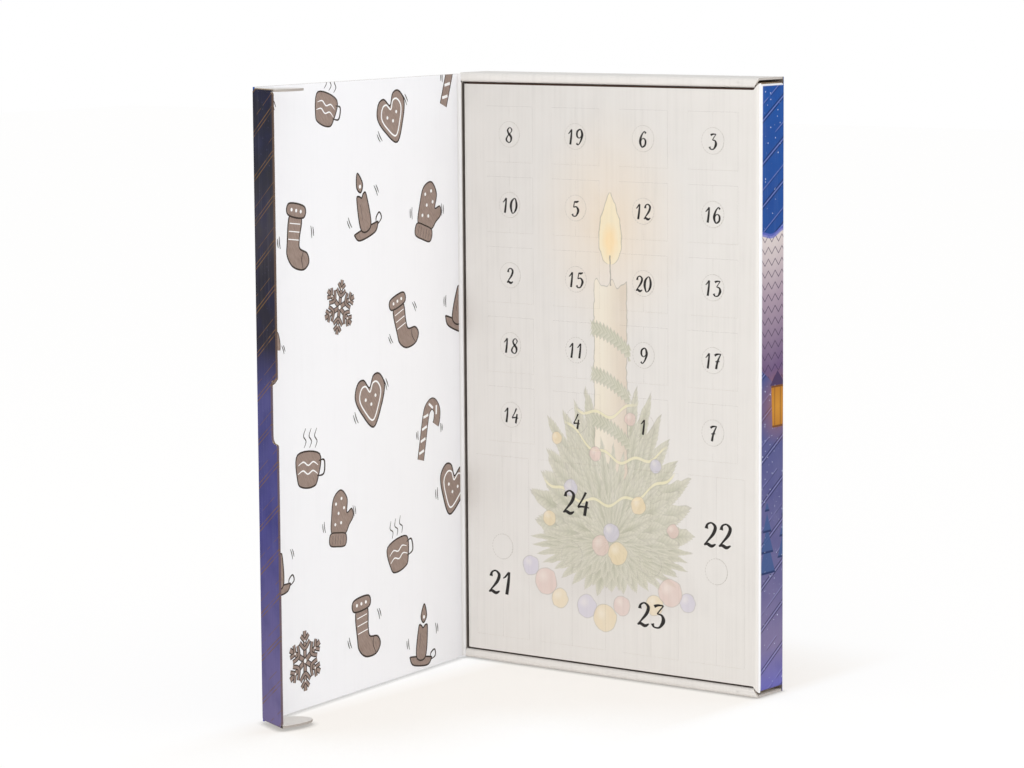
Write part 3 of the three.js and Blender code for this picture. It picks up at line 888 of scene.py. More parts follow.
class DoorPicture:
    """The faded picture on the windows: a candle wound with a garland, in a mound of boughs and fruit."""

    CENTRE = 4.0  # of the candle, to the right of the door's middle
    BASE = 88.0  # height of the mound's middle
    CANDLE = 12.5  # half width of the candle
    CANDLE_FOOT = 80.0
    CANDLE_TOP = 250.0
    WICK_TOP = 268.0
    FLAME_FOOT = 262.0
    FLAME_HEIGHT = 46.0
    OUTLINE = tone(166, 160, 150)
    GREEN = tone(214, 210, 194)
    DEEP_GREEN = tone(188, 187, 166)
    RIBBON = tone(230, 223, 190)

    # each layer's reach, tips in half a turn, and turn
    BACK_BOUGHS = ((48, 19, 0.0), (40, 17, 0.4), (32, 15, 0.7))
    FRONT_BOUGHS = ((23, 13, 0.2), (14, 10, 0.5), (5, 7, 0.1))
    # height, sag and lean
    RIBBONS = ((168, 0.012, 0.2), (141, 0.010, -0.24), (112, 0.007, 0.14))
    # place, radius and colour
    FRUIT = (
        (-59, 66, 6.4, tone(206, 200, 214)),
        (-47, 57, 8.6, tone(224, 198, 188)),
        (-36, 47, 6.2, tone(232, 214, 180)),
        (-15, 44, 7.4, tone(207, 201, 214)),
        (12, 47, 6.4, tone(221, 197, 188)),
        (-1, 38, 8.8, tone(231, 212, 176)),
        (37, 50, 6.4, tone(232, 214, 180)),
        (62, 54, 6.0, tone(207, 201, 214)),
        (49, 59, 8.8, tone(222, 197, 187)),
        (25, 112, 5.6, tone(234, 212, 172)),
        (-27, 119, 5.4, tone(204, 199, 214)),
        (-8, 142, 4.6, tone(222, 194, 186)),
        (38, 138, 4.4, tone(205, 200, 214)),
        (-38, 150, 4.0, tone(234, 212, 174)),
        (19, 166, 4.2, tone(222, 196, 188)),
        (51, 98, 4.4, tone(221, 195, 187)),
        (-4, 84, 6.6, tone(222, 197, 188)),
        (9, 80, 7.2, tone(232, 212, 174)),
        (4, 93, 6.0, tone(205, 200, 214)),
        (-44, 98, 5.0, tone(232, 212, 174)),
    )

    def __init__(self, palette: Palette, along: Signal, up: Signal) -> None:
        """Keeps the palette and the place on the door.

        Args:
            palette: where the nodes go.
            along: distance to the right of the middle.
            up: height.
        """
        self.p = palette
        self.x = along - self.CENTRE
        self.z = up
        wobble = palette.noise(palette.vector(along, up), 0.16, 2.0) - 0.5
        self.wx = self.x + wobble * 2.4
        self.wz = self.z + wobble * 2.0
        rise = self.wz - self.BASE
        rise = rise.apply("MAXIMUM", 0) * 0.6 + rise.apply("MINIMUM", 0) * 1.8
        self.radius = (self.wx * self.wx + rise * rise).apply("SQRT")
        self.angle = rise.apply("ARCTAN2", self.wx)
        self.wash = palette.noise(palette.vector(along * 0.09, up * 0.05), 1.0, 4.0)

    def colour(self) -> Paint:
        """Paints the picture, with painted shade of the lid over it towards the top left.

        Returns:
            The colour.
        """
        p = self.p
        glow = (self._distance(0, 288, 1.0, 0.8) * (-1 / 62) + 1).apply("MAXIMUM", 0)
        ground = (self._distance(2, 58, 1.0, 3.4) * (-1 / 78) + 1).apply("MAXIMUM", 0)
        # painted shade of the lid: the panel darker towards its top left
        shade = (self.z / TOP) * (0.5 - self.x / (RIGHT * 2)) * 0.24
        colour = p.layered(
            Side.DOOR.value,
            (shade, tone(178, 174, 170)),
            (glow.apply("POWER", 1.3) * 0.7, tone(234, 213, 185)),
            (ground * 0.45, tone(200, 193, 188)),
        )
        for bough in self.BACK_BOUGHS:
            colour = self._boughs(colour, *bough)
        colour = self._garland(self._flame(self._candle(colour)))
        for bough in self.FRONT_BOUGHS:
            colour = self._boughs(colour, *bough)
        for ribbon in self.RIBBONS:
            colour = self._ribbon(colour, *ribbon)
        for fruit in self.FRUIT:
            colour = self._fruit(colour, *fruit)
        return p.mix((self.wash - 0.42) * 0.5, colour, tone(229, 224, 219))

    def _distance(self, x: float, z: float, across: float = 1.0, upward: float = 1.0) -> Signal:
        """Gives the distance to a point, with the two directions weighed."""
        a, b = (self.wx - x) * across, (self.wz - z) * upward
        return (a * a + b * b).apply("SQRT")

    def _boughs(self, below: Paint, reach: float, count: float, shift: float) -> Paint:
        """Paints one layer of twigs: a ring of pointed tips, with needles along their edges.

        Args:
            below: what is painted so far.
            reach: how far the layer goes before its tips.
            count: tips in half a turn.
            shift: turn of the layer, in tips.

        Returns:
            The colour.
        """
        p = self.p
        turn = self.angle * (count / math.pi) + shift
        number = turn.apply("FLOOR")
        aside = abs(turn - number - 0.5) * 2
        chance = p.node("ShaderNodeTexWhiteNoise", {"noise_dimensions": "1D"}, W=number + reach)
        length = p.signal(chance.outputs[0]) * 9 + 9
        needles = (turn * 6 + self.radius * 0.3).part()
        edge = (1 - aside.apply("POWER", 1.25)) * length + needles * 2.4 + reach
        inside = (edge - self.radius).over(0, 0.5)
        streaks = p.noise(p.vector(turn * 9, self.radius * 0.14, reach), 1.0, 3.0)
        deep = ((edge - self.radius) * (1 / 17)).apply("MINIMUM", 1) * 0.9 + (streaks - 0.45) * 0.9
        fill = p.mix(deep.apply("ADD", 0, clamp=True), self.GREEN, self.DEEP_GREEN)
        veins = (self.radius * 0.34 - aside * 1.8).part().under(0.3, 0.2)
        veins = veins.apply("MAXIMUM", aside.under(0.1, 0.08))
        line = abs(edge - self.radius).under(0.3, 0.35) * aside.under(0.95, 0.1)
        return p.layered(
            below,
            (inside, fill),
            (veins * inside * 0.2, self.OUTLINE),
            (line * 0.34, self.OUTLINE),
        )

    def _candle(self, below: Paint) -> Paint:
        """Paints the candle with its melted top.

        Args:
            below: what is painted so far.

        Returns:
            The colour.
        """
        side = abs(self.wx)
        top = self.x.sine(11.0, 1.0) * 2.2 + self.x.sine(6.2) * 1.0 + self.CANDLE_TOP
        below_top = (self.z - top).under(0, 0.5)
        wax = self.p.mix(self.x.over(2, 16), tone(233, 224, 207), tone(219, 206, 190))
        line = abs(side - self.CANDLE).under(0.3, 0.3) * below_top
        line = line.apply("MAXIMUM", abs(self.z - top).under(0.35, 0.3) * side.under(self.CANDLE))
        standing = self.z.over(self.CANDLE_FOOT)
        return self.p.layered(
            below,
            (side.under(self.CANDLE, 0.4) * below_top * standing, wax),
            (line * standing * 0.65, self.OUTLINE),
        )

    def _flame(self, below: Paint) -> Paint:
        """Paints the flame and its wick.

        Args:
            below: what is painted so far.

        Returns:
            The colour.
        """
        side = abs(self.wx)
        rise = ((self.z - self.FLAME_FOOT) / self.FLAME_HEIGHT).apply("ADD", 0, clamp=True)
        width = rise.apply("POWER", 0.55) * (1 - rise) * 24
        burning = rise.over(0.01, 0.01) * rise.under(0.985, 0.01)
        core = self._distance(0, 277, 1.3, 0.7).under(6, 6)
        wick = side.under(0.5) * self.z.over(self.CANDLE_TOP - 1) * self.z.under(self.WICK_TOP)
        return self.p.layered(
            below,
            (side.under(width, 0.5) * burning, self.p.mix(core, tone(239, 225, 194), tone(244, 216, 168))),
            (abs(side - width).under(0.35, 0.3) * burning * 0.6, self.OUTLINE),
            (wick * 0.8, tone(150, 142, 134)),
        )

    def _garland(self, below: Paint) -> Paint:
        """Paints the garland that winds up the candle.

        Args:
            below: what is painted so far.

        Returns:
            The colour.
        """
        slope = self.z + self.x * 0.5 + self.x * self.x * 0.014
        band = slope.saw(29.0)
        needles = ((self.x + band * 0.9) / 2.7).part()
        edge = needles * 2.2 + 3.4
        reach = abs(self.wx).under(needles * 1.8 + 14, 0.5) * self.z.over(96) * slope.under(230)
        return self.p.layered(
            below,
            (band.under(edge, 0.5) * reach, self.p.mix(needles * 0.8, self.DEEP_GREEN, self.GREEN)),
            (abs(band - edge).under(0.3, 0.3) * reach * 0.4, self.OUTLINE),
        )

    def _ribbon(self, below: Paint, height: float, sag: float, lean: float) -> Paint:
        """Paints a pale ribbon that hangs over the boughs in a curve.

        Args:
            below: what is painted so far.
            height: of its middle.
            sag: how fast its ends rise.
            lean: how much its right end is higher than its left.

        Returns:
            The colour.
        """
        curve = self.x * self.x * sag + self.x * lean + self.x.sine(23.0, height) * 2.0 + height
        away = abs(self.z - curve)
        inside = self.radius.under(55, 4)
        return self.p.layered(
            below,
            (away.under(0.9, 0.6) * inside * 0.9, self.RIBBON),
            (abs(away - 1.3).under(0.12, 0.3) * inside * 0.4, self.OUTLINE),
        )

    def _fruit(self, below: Paint, x: float, z: float, radius: float, fill: tuple[float, ...]) -> Paint:
        """Paints a round fruit or bauble with a soft shine and an outline.

        Args:
            below: what is painted so far.
            x: its middle, to the right of the door's middle.
            z: its height.
            radius: its radius.
            fill: its colour.

        Returns:
            The colour.
        """
        x -= self.CENTRE
        away = self._distance(x, z)
        shine = self._distance(x - radius * 0.3, z + radius * 0.35).under(radius * 0.35, radius * 0.5)
        return self.p.layered(
            below,
            (away.under(radius, 0.5) * 0.72, fill),
            (shine * 0.35, tone(244, 238, 228)),
            (abs(away - radius).under(0.25, 0.35) * 0.42, self.OUTLINE),
        )


@dataclass(frozen=True)
class InkFinish:
    """A flat ink, with a little of the streaks of a brush in it."""

    name: str
    colour: tuple[float, ...]
    streak: tuple[float, ...] | None = None
    roughness: float = 0.55

    def material(self) -> bpy.types.Material:
        """Makes the material.

        Returns:
            The material.
        """
        made, p, shader = new_material(self.name)
        place, _ = p.object_point()
        flat = p.along(place, (0.8, 0.8, 0.5))
        long = p.along(place, (-0.3, -0.3, 0.85))
        strokes = p.noise(p.vector(flat * 1.1, long * 0.22), 1.0, 3.0)
        colour = p.mix((strokes - 0.3) * 1.6, self.colour, self.streak or self.colour)
        join(p.tree, colour, shader.inputs["Base Color"])
        join(p.tree, strokes * 0.15 + self.roughness, shader.inputs["Roughness"])
        shader.inputs["Specular IOR Level"].default_value = 0.3
        return made


def smooth_path(points: Stroke, closed: bool = False, steps: int = 6) -> list[tuple[float, float, float]]:
    """Runs a smooth curve through points, each with a width.

    Args:
        points: x, y and width of each.
        closed: whether the curve returns to its start.
        steps: stretches between two points.

    Returns:
        The points of the curve.
    """
    count = len(points)
    if count == 2 and not closed:
        return [tuple(p) for p in points]
    pick = (lambda i: points[i % count]) if closed else (lambda i: points[min(max(i, 0), count - 1)])
    made = []
    for i in range(count if closed else count - 1):
        a, b, c, d = (Vector(pick(i + k)) for k in (-1, 0, 1, 2))
        for k in range(steps):
            t = k / steps
            bend, twist = 2 * a - 5 * b + 4 * c - d, 3 * b - a - 3 * c + d
            made.append(tuple(0.5 * ((2 * b) + (c - a) * t + bend * t**2 + twist * t**3)))
    if not closed:
        made.append(tuple(points[-1]))
    return made


class Drawing:
    """Flat shapes of ink on one face, each over the ones before it, as one mesh."""

    def __init__(self) -> None:
        """Starts an empty drawing."""
        self.mesh = bmesh.new()
        self.level = 0.0

    def restart(self) -> None:
        """Starts again at the lowest level, for shapes beside those drawn so far."""
        self.level = 0.0

    def area(self, points: Sequence[Pair], ink: int, place: Matrix) -> None:
        """Fills an outline.

        Args:
            points: the outline.
            ink: number of its material.
            place: where the outline goes in the drawing.
        """
        self.level += INK_STEP
        corners = [self.mesh.verts.new(place @ Vector((x, y, self.level))) for x, y in points]
        self._face(corners, ink)

    def _face(self, corners: Sequence[bmesh.types.BMVert], ink: int) -> None:
        """Adds a face that looks off the board.

        Args:
            corners: its corners.
            ink: number of its material.
        """
        made = self.mesh.faces.new(corners)
        made.material_index = ink
        made.normal_update()
        if made.normal.z < 0:
            made.normal_flip()

    def stroke(self, points: Stroke, ink: int, place: Matrix, closed: bool = False) -> None:
        """Draws a line of varying width.

        Args:
            points: x, y and width along it.
            ink: number of its material.
            place: where the line goes in the drawing.
            closed: whether it returns to its start.
        """
        path = smooth_path(points, closed)
        count = len(path)
        edges = []
        for i, (x, y, width) in enumerate(path):
            before = path[i - 1] if closed else path[max(i - 1, 0)]
            after = path[(i + 1) % count] if closed else path[min(i + 1, count - 1)]
            run = Vector((after[0] - before[0], after[1] - before[1])).normalized()
            side = Vector((-run.y, run.x)) * width / 2
            edges.append(((x + side.x, y + side.y), (x - side.x, y - side.y)))
        if closed:
            edges.append(edges[0])
        self.level += INK_STEP
        rows = [[self.mesh.verts.new(place @ Vector((*spot, self.level))) for spot in pair] for pair in edges]
        for (a, b), (c, d) in zip(rows, rows[1:]):
            self._face((a, b, d, c), ink)

    def dot(self, x: float, y: float, radius: float, ink: int, place: Matrix, count: int = 14) -> None:
        """Draws a round spot."""
        turns = [math.tau * k / count for k in range(count)]
        self.area([(x + radius * math.cos(t), y + radius * math.sin(t)) for t in turns], ink, place)

    def trim(self, point: Pair, outward: Pair) -> None:
        """Cuts off what lies beyond a line.

        Args:
            point: a point of the line.
            outward: the way to the part that goes.
        """
        bmesh.ops.bisect_plane(
            self.mesh,
            geom=[*self.mesh.verts, *self.mesh.edges, *self.mesh.faces],
            plane_co=(*point, 0),
            plane_no=(*outward, 0),
            clear_outer=True,
        )

    def finish(
        self, name: str, face: Face, inks: Sequence[bpy.types.Material], body: str
    ) -> bpy.types.Object:
        """Lays the drawing on a face of the box.

        Args:
            name: the piece's name.
            face: the face.
            inks: its materials, in the order of their numbers.
            body: what it moves with.

        Returns:
            The piece.
        """
        self.mesh.transform(face.place(PRINT_LIFT))
        return finished(self.mesh, name, inks, body)


def finished(
    mesh: bmesh.types.BMesh, name: str, materials: Sequence[bpy.types.Material], body: str | None
) -> bpy.types.Object:
    """Turns a mesh into a piece of the calendar.

    Args:
        mesh: the mesh, in metres, in its place.
        name: the piece's name.
        materials: its materials.
        body: what it moves with, or None where it bends between two bodies.

    Returns:
        The piece.
    """
    data = bpy.data.meshes.new(name)
    mesh.to_mesh(data)
    mesh.free()
    for material in materials:
        data.materials.append(material)
    piece = bpy.data.objects.new(name, data)
    bpy.context.scene.collection.objects.link(piece)
    if body is not None:
        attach(piece, body)
    return piece


# pen strokes of each digit in a square of 1: x, y and width
DIGITS: dict[str, list[Stroke]] = {
    "0": [[(0.26, 1, 0.05), (0.08, 0.76, 0.13), (0.04, 0.42, 0.15), (0.14, 0.06, 0.09), (0.25, 0, 0.05),
           (0.42, 0.22, 0.12), (0.47, 0.56, 0.14), (0.38, 0.92, 0.09), (0.26, 1, 0.05)]],
    "1": [[(0.0, 0.70, 0.03), (0.1, 0.78, 0.07), (0.24, 1.0, 0.07)],
          [(0.26, 1.0, 0.08), (0.24, 0.5, 0.12), (0.2, 0, 0.13)]],
    "2": [[(0.07, 0.74, 0.14), (0.1, 0.92, 0.08), (0.26, 1.0, 0.07), (0.42, 0.84, 0.12), (0.36, 0.55, 0.12),
           (0.16, 0.24, 0.07), (0.02, 0.04, 0.06)],
          [(0.02, 0.04, 0.06), (0.14, 0.1, 0.12), (0.32, 0.02, 0.13), (0.48, 0.12, 0.05)]],
    "3": [[(0.06, 0.9, 0.13), (0.22, 0.97, 0.09), (0.44, 0.97, 0.05)], [(0.44, 0.97, 0.05), (0.2, 0.6, 0.05)],
          [(0.2, 0.6, 0.05), (0.4, 0.54, 0.09), (0.47, 0.3, 0.15), (0.32, 0.02, 0.08),
           (0.1, 0.02, 0.07), (0.03, 0.16, 0.13)]],
    "4": [[(0.33, 1.0, 0.1), (0.19, 0.66, 0.07), (0.02, 0.34, 0.06)],
          [(0.02, 0.34, 0.1), (0.22, 0.37, 0.08), (0.5, 0.34, 0.05)],
          [(0.4, 0.62, 0.09), (0.36, 0.3, 0.12), (0.33, -0.02, 0.12)]],
    "5": [[(0.13, 0.97, 0.07), (0.28, 0.94, 0.12), (0.46, 1.0, 0.06)],
          [(0.14, 0.97, 0.06), (0.09, 0.58, 0.07)],
          [(0.09, 0.58, 0.06), (0.3, 0.62, 0.08), (0.45, 0.38, 0.15), (0.32, 0.04, 0.08),
           (0.12, 0.0, 0.07), (0.02, 0.14, 0.13)]],
    "6": [[(0.42, 0.88, 0.12), (0.3, 1.0, 0.06), (0.12, 0.74, 0.1), (0.04, 0.34, 0.15), (0.18, 0.0, 0.08),
           (0.4, 0.12, 0.11), (0.42, 0.42, 0.11), (0.24, 0.56, 0.05), (0.08, 0.38, 0.05)]],
    "7": [[(0.05, 0.86, 0.13), (0.2, 0.96, 0.11), (0.48, 0.99, 0.05)],
          [(0.48, 0.99, 0.06), (0.28, 0.5, 0.11), (0.2, 0, 0.14)],
          [(0.12, 0.47, 0.05), (0.28, 0.5, 0.08), (0.43, 0.5, 0.05)]],
    "8": [[(0.4, 0.9, 0.07), (0.26, 1.0, 0.05), (0.11, 0.82, 0.1), (0.2, 0.6, 0.12), (0.4, 0.36, 0.14),
           (0.38, 0.08, 0.08), (0.22, 0.0, 0.06), (0.04, 0.18, 0.11), (0.14, 0.44, 0.07), (0.34, 0.64, 0.05),
           (0.43, 0.82, 0.07), (0.4, 0.9, 0.07)]],
    "9": [[(0.06, 0.1, 0.12), (0.2, 0.0, 0.06), (0.38, 0.28, 0.1), (0.46, 0.68, 0.15), (0.32, 1.0, 0.08),
           (0.09, 0.88, 0.11), (0.08, 0.58, 0.11), (0.26, 0.44, 0.05), (0.42, 0.62, 0.05)]],
}


def write_number(drawing: Drawing, text: str, centre: Pair, size: Pair, ink: int) -> None:
    """Writes a number in slanting pen strokes.

    Args:
        drawing: where it goes.
        text: the number.
        centre: its middle.
        size: width and height of a digit's square.
        ink: number of its ink.
    """
    slant, advance, digit_width, large = 0.06, 0.6, 0.48, 12
    weight = 1.08 if size[1] > large else 1.2
    width = advance * (len(text) - 1) + digit_width
    stretch = Matrix.Translation((*centre, 0)) @ Matrix.Diagonal((*size, 1, 1))
    for i, digit in enumerate(text):
        shift = i * advance - width / 2
        for path in DIGITS[digit]:
            points = [(x + shift + slant * (y - 0.5), y - 0.5, w * weight) for x, y, w in path]
            drawing.stroke(points, ink, stretch)


@dataclass
class Doors:
    """The door panel's windows: each leaf's face with its share of the number and of the disc's mark."""

    disc: float = 8.2  # radius of the push disc
    kerf: float = 0.05  # what stays open of the cut between two leaves
    reach: float = 0.21  # how far a face covers the cuts at its foot and top
    crease: float = 0.13  # how far it covers its crease
    small_height: float = 9.5
    small_stretch: float = 1.08
    small_drop: float = 0.4
    large_height: float = 14.8
    large_stretch: float = 1.24

    # where the numbers of the large windows stand
    LARGE = {"21": (-82.8, 52.2), "24": (-23.1, 109.5), "23": (34.2, 43.4), "22": (84.4, 98.8)}

    def build(self, door: bpy.types.Material, inks: Sequence[bpy.types.Material]) -> None:
        """Builds the face of every leaf.

        Args:
            door: the door print.
            inks: black ink and the mark of the perforation.
        """
        for day in range(1, 25):
            text = f"{day:02d}"
            low, high = (Vector(v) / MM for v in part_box(f"leaf_{text}_left"))
            far = Vector(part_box(f"leaf_{text}_right")[1]) / MM
            for side, name in ((-1, f"leaf_{text}_left"), (1, f"leaf_{text}_right")):
                self._leaf(name, str(day), side, (low.x, far.x), (low.z, high.z), door, inks)
        log.info("doors: 24 windows with two leaves each")

    def _leaf(
        self,
        name: str,
        text: str,
        side: int,
        span: Pair,
        rise: Pair,
        door: bpy.types.Material,
        inks: Sequence[bpy.types.Material],
    ) -> None:
        """Builds one leaf's face.

        Args:
            name: the leaf's name.
            text: the window's number.
            side: -1 for the left leaf and 1 for the right one.
            span: the window's left and right.
            rise: the window's foot and top.
            door: the door print.
            inks: black ink and the mark of the perforation.
        """
        middle, centre = (span[0] + span[1]) / 2, (rise[0] + rise[1]) / 2
        low, high = rise[0] - self.reach, rise[1] + self.reach
        crease = span[0] - self.crease if side < 0 else span[1] + self.crease
        edge = middle - self.kerf / 2 if side < 0 else middle + self.kerf / 2
        radius = self.disc if side < 0 else self.disc + self.kerf
        steps, inset = 24, 0.02  # the inset keeps the arc's ends off the cut
        turns = [math.pi * (k + inset) / (steps + 2 * inset) for k in range(steps + 1)]
        arc = [(middle + radius * math.sin(t), centre - radius * math.cos(t)) for t in turns]
        drawing = Drawing()
        flat = Matrix.Identity(4)
        drawing.area([(crease, low), (edge, low), *arc, (edge, high), (crease, high)], 0, flat)
        large = self.LARGE.get(text)
        if large:
            size = (self.large_height * self.large_stretch, self.large_height)
            write_number(drawing, text, large, size, 1)
            drawing.trim((middle, 0), (-side, 0))
            if side < 0:
                drawing.area([(edge, low), (edge + 0.01, low), (edge, low + 0.01)], 0, flat)
        elif side < 0:
            size = (self.small_height * self.small_stretch, self.small_height)
            write_number(drawing, text, (middle, centre - self.small_drop), size, 1)
        if side < 0:
            self._perforation(drawing, middle, centre)
        drawing.finish(f"{name}_face", DOOR_FRONT, [door, *inks], name)

    def _perforation(self, drawing: Drawing, x: float, z: float) -> None:
        """Marks the dashes of the push disc's perforation.

        Args:
            drawing: where they go.
            x: the disc's middle.
            z: its height.
        """
        count, dash, width, radius = 26, 0.62, 0.26, self.disc - 0.1
        for k in range(count):
            start, end = (math.tau * (k + part) / count for part in (0.0, dash))
            turns = (start, (start + end) / 2, end)
            points = [(x + radius * math.cos(t), z + radius * math.sin(t), width) for t in turns]
            drawing.stroke(points, 2, Matrix.Identity(4))


class Motif(Enum):
    """What is scattered over the lid's lining."""

    SNOWFLAKE = "snowflake"
    MITTEN = "mitten"
    CANE = "cane"
    CANDLE = "candle"
    HEART = "heart"
    STOCKING = "stocking"
    CUP = "cup"


FILL, LINE, WHITE = 1, 2, 3  # numbers of the lining's inks; 0 is the edge of a band


class MotifPen:
    """Draws the lining's motifs in millimetres, each about its own middle."""

    def __init__(self, drawing: Drawing, place: Matrix) -> None:
        """Keeps the drawing and the motif's place."""
        self.drawing = drawing
        self.place = place

    def shape(self, points: Sequence[Pair], line: float = 0.78) -> None:
        """Fills a rounded outline and draws its edge.

        Args:
            points: the outline.
            line: width of its edge.
        """
        path = smooth_path([(x, y, line) for x, y in points], closed=True)
        self.drawing.area([(x, y) for x, y, _ in path], FILL, self.place)
        self.drawing.stroke([(x, y, line) for x, y in points], LINE, self.place, closed=True)

    def line(self, points: Sequence[Pair], width: float, ink: int = LINE) -> None:
        """Draws a line of even width that thins out at its ends.

        Args:
            points: the line.
            width: its width.
            ink: number of its ink.
        """
        last = len(points) - 1
        path = [(x, y, width * (0.5 if i in (0, last) else 1)) for i, (x, y) in enumerate(points)]
        self.drawing.stroke(path, ink, self.place)

    def band(self, points: Sequence[Pair], width: float) -> None:
        """Draws a filled band with an edge."""
        self.drawing.stroke([(x, y, width + 1.1) for x, y in points], 0, self.place)
        self.drawing.stroke([(x, y, width) for x, y in points], FILL, self.place)

    def dots(self, spots: Sequence[Pair], radius: float) -> None:
        """Draws white spots."""
        for x, y in spots:
            self.drawing.dot(x, y, radius, WHITE, self.place)

    def shake(self, reach: float) -> None:
        """Draws two short arcs at each side of the motif.

        Args:
            reach: how far from its middle.
        """
        for side in (0.3, 3.45):
            for k, spread in ((0.9, 0.22), (1.0, 0.15)):
                turns = (side - spread, side, side + spread)
                self.line([(reach * k * math.cos(t), reach * k * math.sin(t)) for t in turns], 0.62)

    def draw(self, motif: Motif) -> None:
        """Draws one motif."""
        getattr(self, motif.value)()

    def snowflake(self) -> None:
        """Six arms with two pairs of branches."""
        for k in range(6):
            turn = Matrix.Rotation(math.tau * k / 6, 4, "Z")
            pen = MotifPen(self.drawing, self.place @ turn)
            pen.band([(0, 0), (0, 7), (0, 14.5)], 1.9)
            for rise, spread in ((6.0, 4.2), (10.0, 3.2)):
                pen.band([(-spread, rise + spread * 0.8), (0, rise), (spread, rise + spread * 0.8)], 1.3)
        self.dots([(0, 0)], 1.1)
        turns = [math.tau * k / 6 for k in range(6)]
        self.dots([(9.6 * math.sin(t), 9.6 * math.cos(t)) for t in turns], 0.55)

    def mitten(self) -> None:
        """A hand with a thumb, and a ribbed cuff."""
        hand = [(-6, -8), (-7.5, 2), (-6.5, 11), (0, 15.5), (6.5, 11)]
        thumb = [(7, 3.5), (11.5, 5.5), (13.5, 1.5), (10, -3), (6, -8)]
        self.shape([*hand, *thumb])
        self.shape([(-7.4, -14), (-7.4, -8.2), (0, -7.4), (7.4, -8.2), (7.4, -14), (0, -14.8)])
        for x in (-5, -2.5, 0, 2.5, 5):
            self.line([(x, -13.6), (x, -8.8)], 0.4)
        self.dots([(-3.5, -3), (2, -2), (-1, 3), (4, 6), (-4, 8), (1, 11)], 0.9)
        self.shake(16)

    def cane(self) -> None:
        """A hooked stick with slanting stripes."""
        path = [(-5, -15), (-5, -4), (-5, 6), (-4, 11), (0, 14), (4.5, 11.5), (5.5, 7), (5, 4)]
        self.band(path, 5.0)
        stripes = ((-5, -11, 30), (-5, -5, 30), (-5, 1, 30), (-5, 7, 25), (-1.5, 12.6, -20), (4, 11.4, -80))
        for x, y, turn in stripes:
            slope = math.radians(turn)
            a, b = 2.3 * math.cos(slope), 2.3 * math.sin(slope)
            self.drawing.stroke([(x - a, y - b, 1.3), (x + a, y + b, 1.3)], WHITE, self.place)
        self.shake(12)

    def candle(self) -> None:
        """A short candle with a flame, on a dish with a ring."""
        self.shape([(-9.5, -11), (-6, -14), (6, -14), (9.5, -11), (8, -10), (-8, -10)])
        self.line([(9, -11.5), (13, -9.5), (12, -6.5), (9, -8), (8.4, -10.4)], 0.8)
        self.shape([(-4, -10), (-4, 4), (-2, 5.2), (0, 4), (2, 5.5), (4, 4), (4, -10)])
        self.shape([(0, 6.5), (-2.6, 9.5), (-0.5, 15.5), (2.4, 10)])
        self.dots([(0.1, 9.2)], 0.9)
        self.line([(-1.8, 1.5), (-1.8, -6)], 0.4)
        self.shake(14)

    def heart(self) -> None:
        """A biscuit heart with an iced edge."""
        half = [(-8, -4), (-12, 4), (-9, 10), (-4, 10.5)]
        path = [(0, -12), *half, (0, 6), *((-x, y) for x, y in reversed(half))]
        self.shape(path)
        icing = [(x * 0.72, y * 0.72 - 0.2, 0.8) for x, y in path]
        self.drawing.stroke(icing, WHITE, self.place, closed=True)
        self.dots([(-4, 1.5), (0, -1.5), (4, 1.5)], 0.8)
        self.shake(15)

    def stocking(self) -> None:
        """A long sock with a cuff, a heel and a toe."""
        heel = [(-6, 9), (-6, -4), (-5, -9), (0, -13)]
        foot = [(8, -13.5), (12, -10), (10, -6), (4, -4.5), (3, 0), (3, 9)]
        self.shape([*heel, *foot])
        self.shape([(-7.4, 9), (-7.4, 14), (4.6, 14), (4.6, 9)])
        for y in (-1.5, 2.0, 5.5):
            self.line([(-5.4, y), (2.6, y + 0.5)], 0.9, WHITE)
        self.line([(7, -5.6), (6.2, -9), (8, -13)], 0.5)
        self.dots([(-5, 11.5), (-1.4, 11.5), (2.2, 11.5)], 0.8)
        self.shake(14)

    def cup(self) -> None:
        """A steaming cup."""
        self.shape([(-9, 3), (-8, -9), (-4, -12), (4, -12), (8, -9), (9, 3)])
        self.line([(8.6, 0), (13, 0), (13, -6), (7.6, -7)], 1.0)
        for y in (-2, -6):
            self.line([(-8, y), (-4, y + 1.6), (0, y), (4, y + 1.6), (8, y)], 0.7, WHITE)
        for x in (-4, 0.5, 5):
            self.line([(x, 6), (x + 1.4, 9), (x - 0.8, 11.5), (x + 0.8, 15)], 0.6)


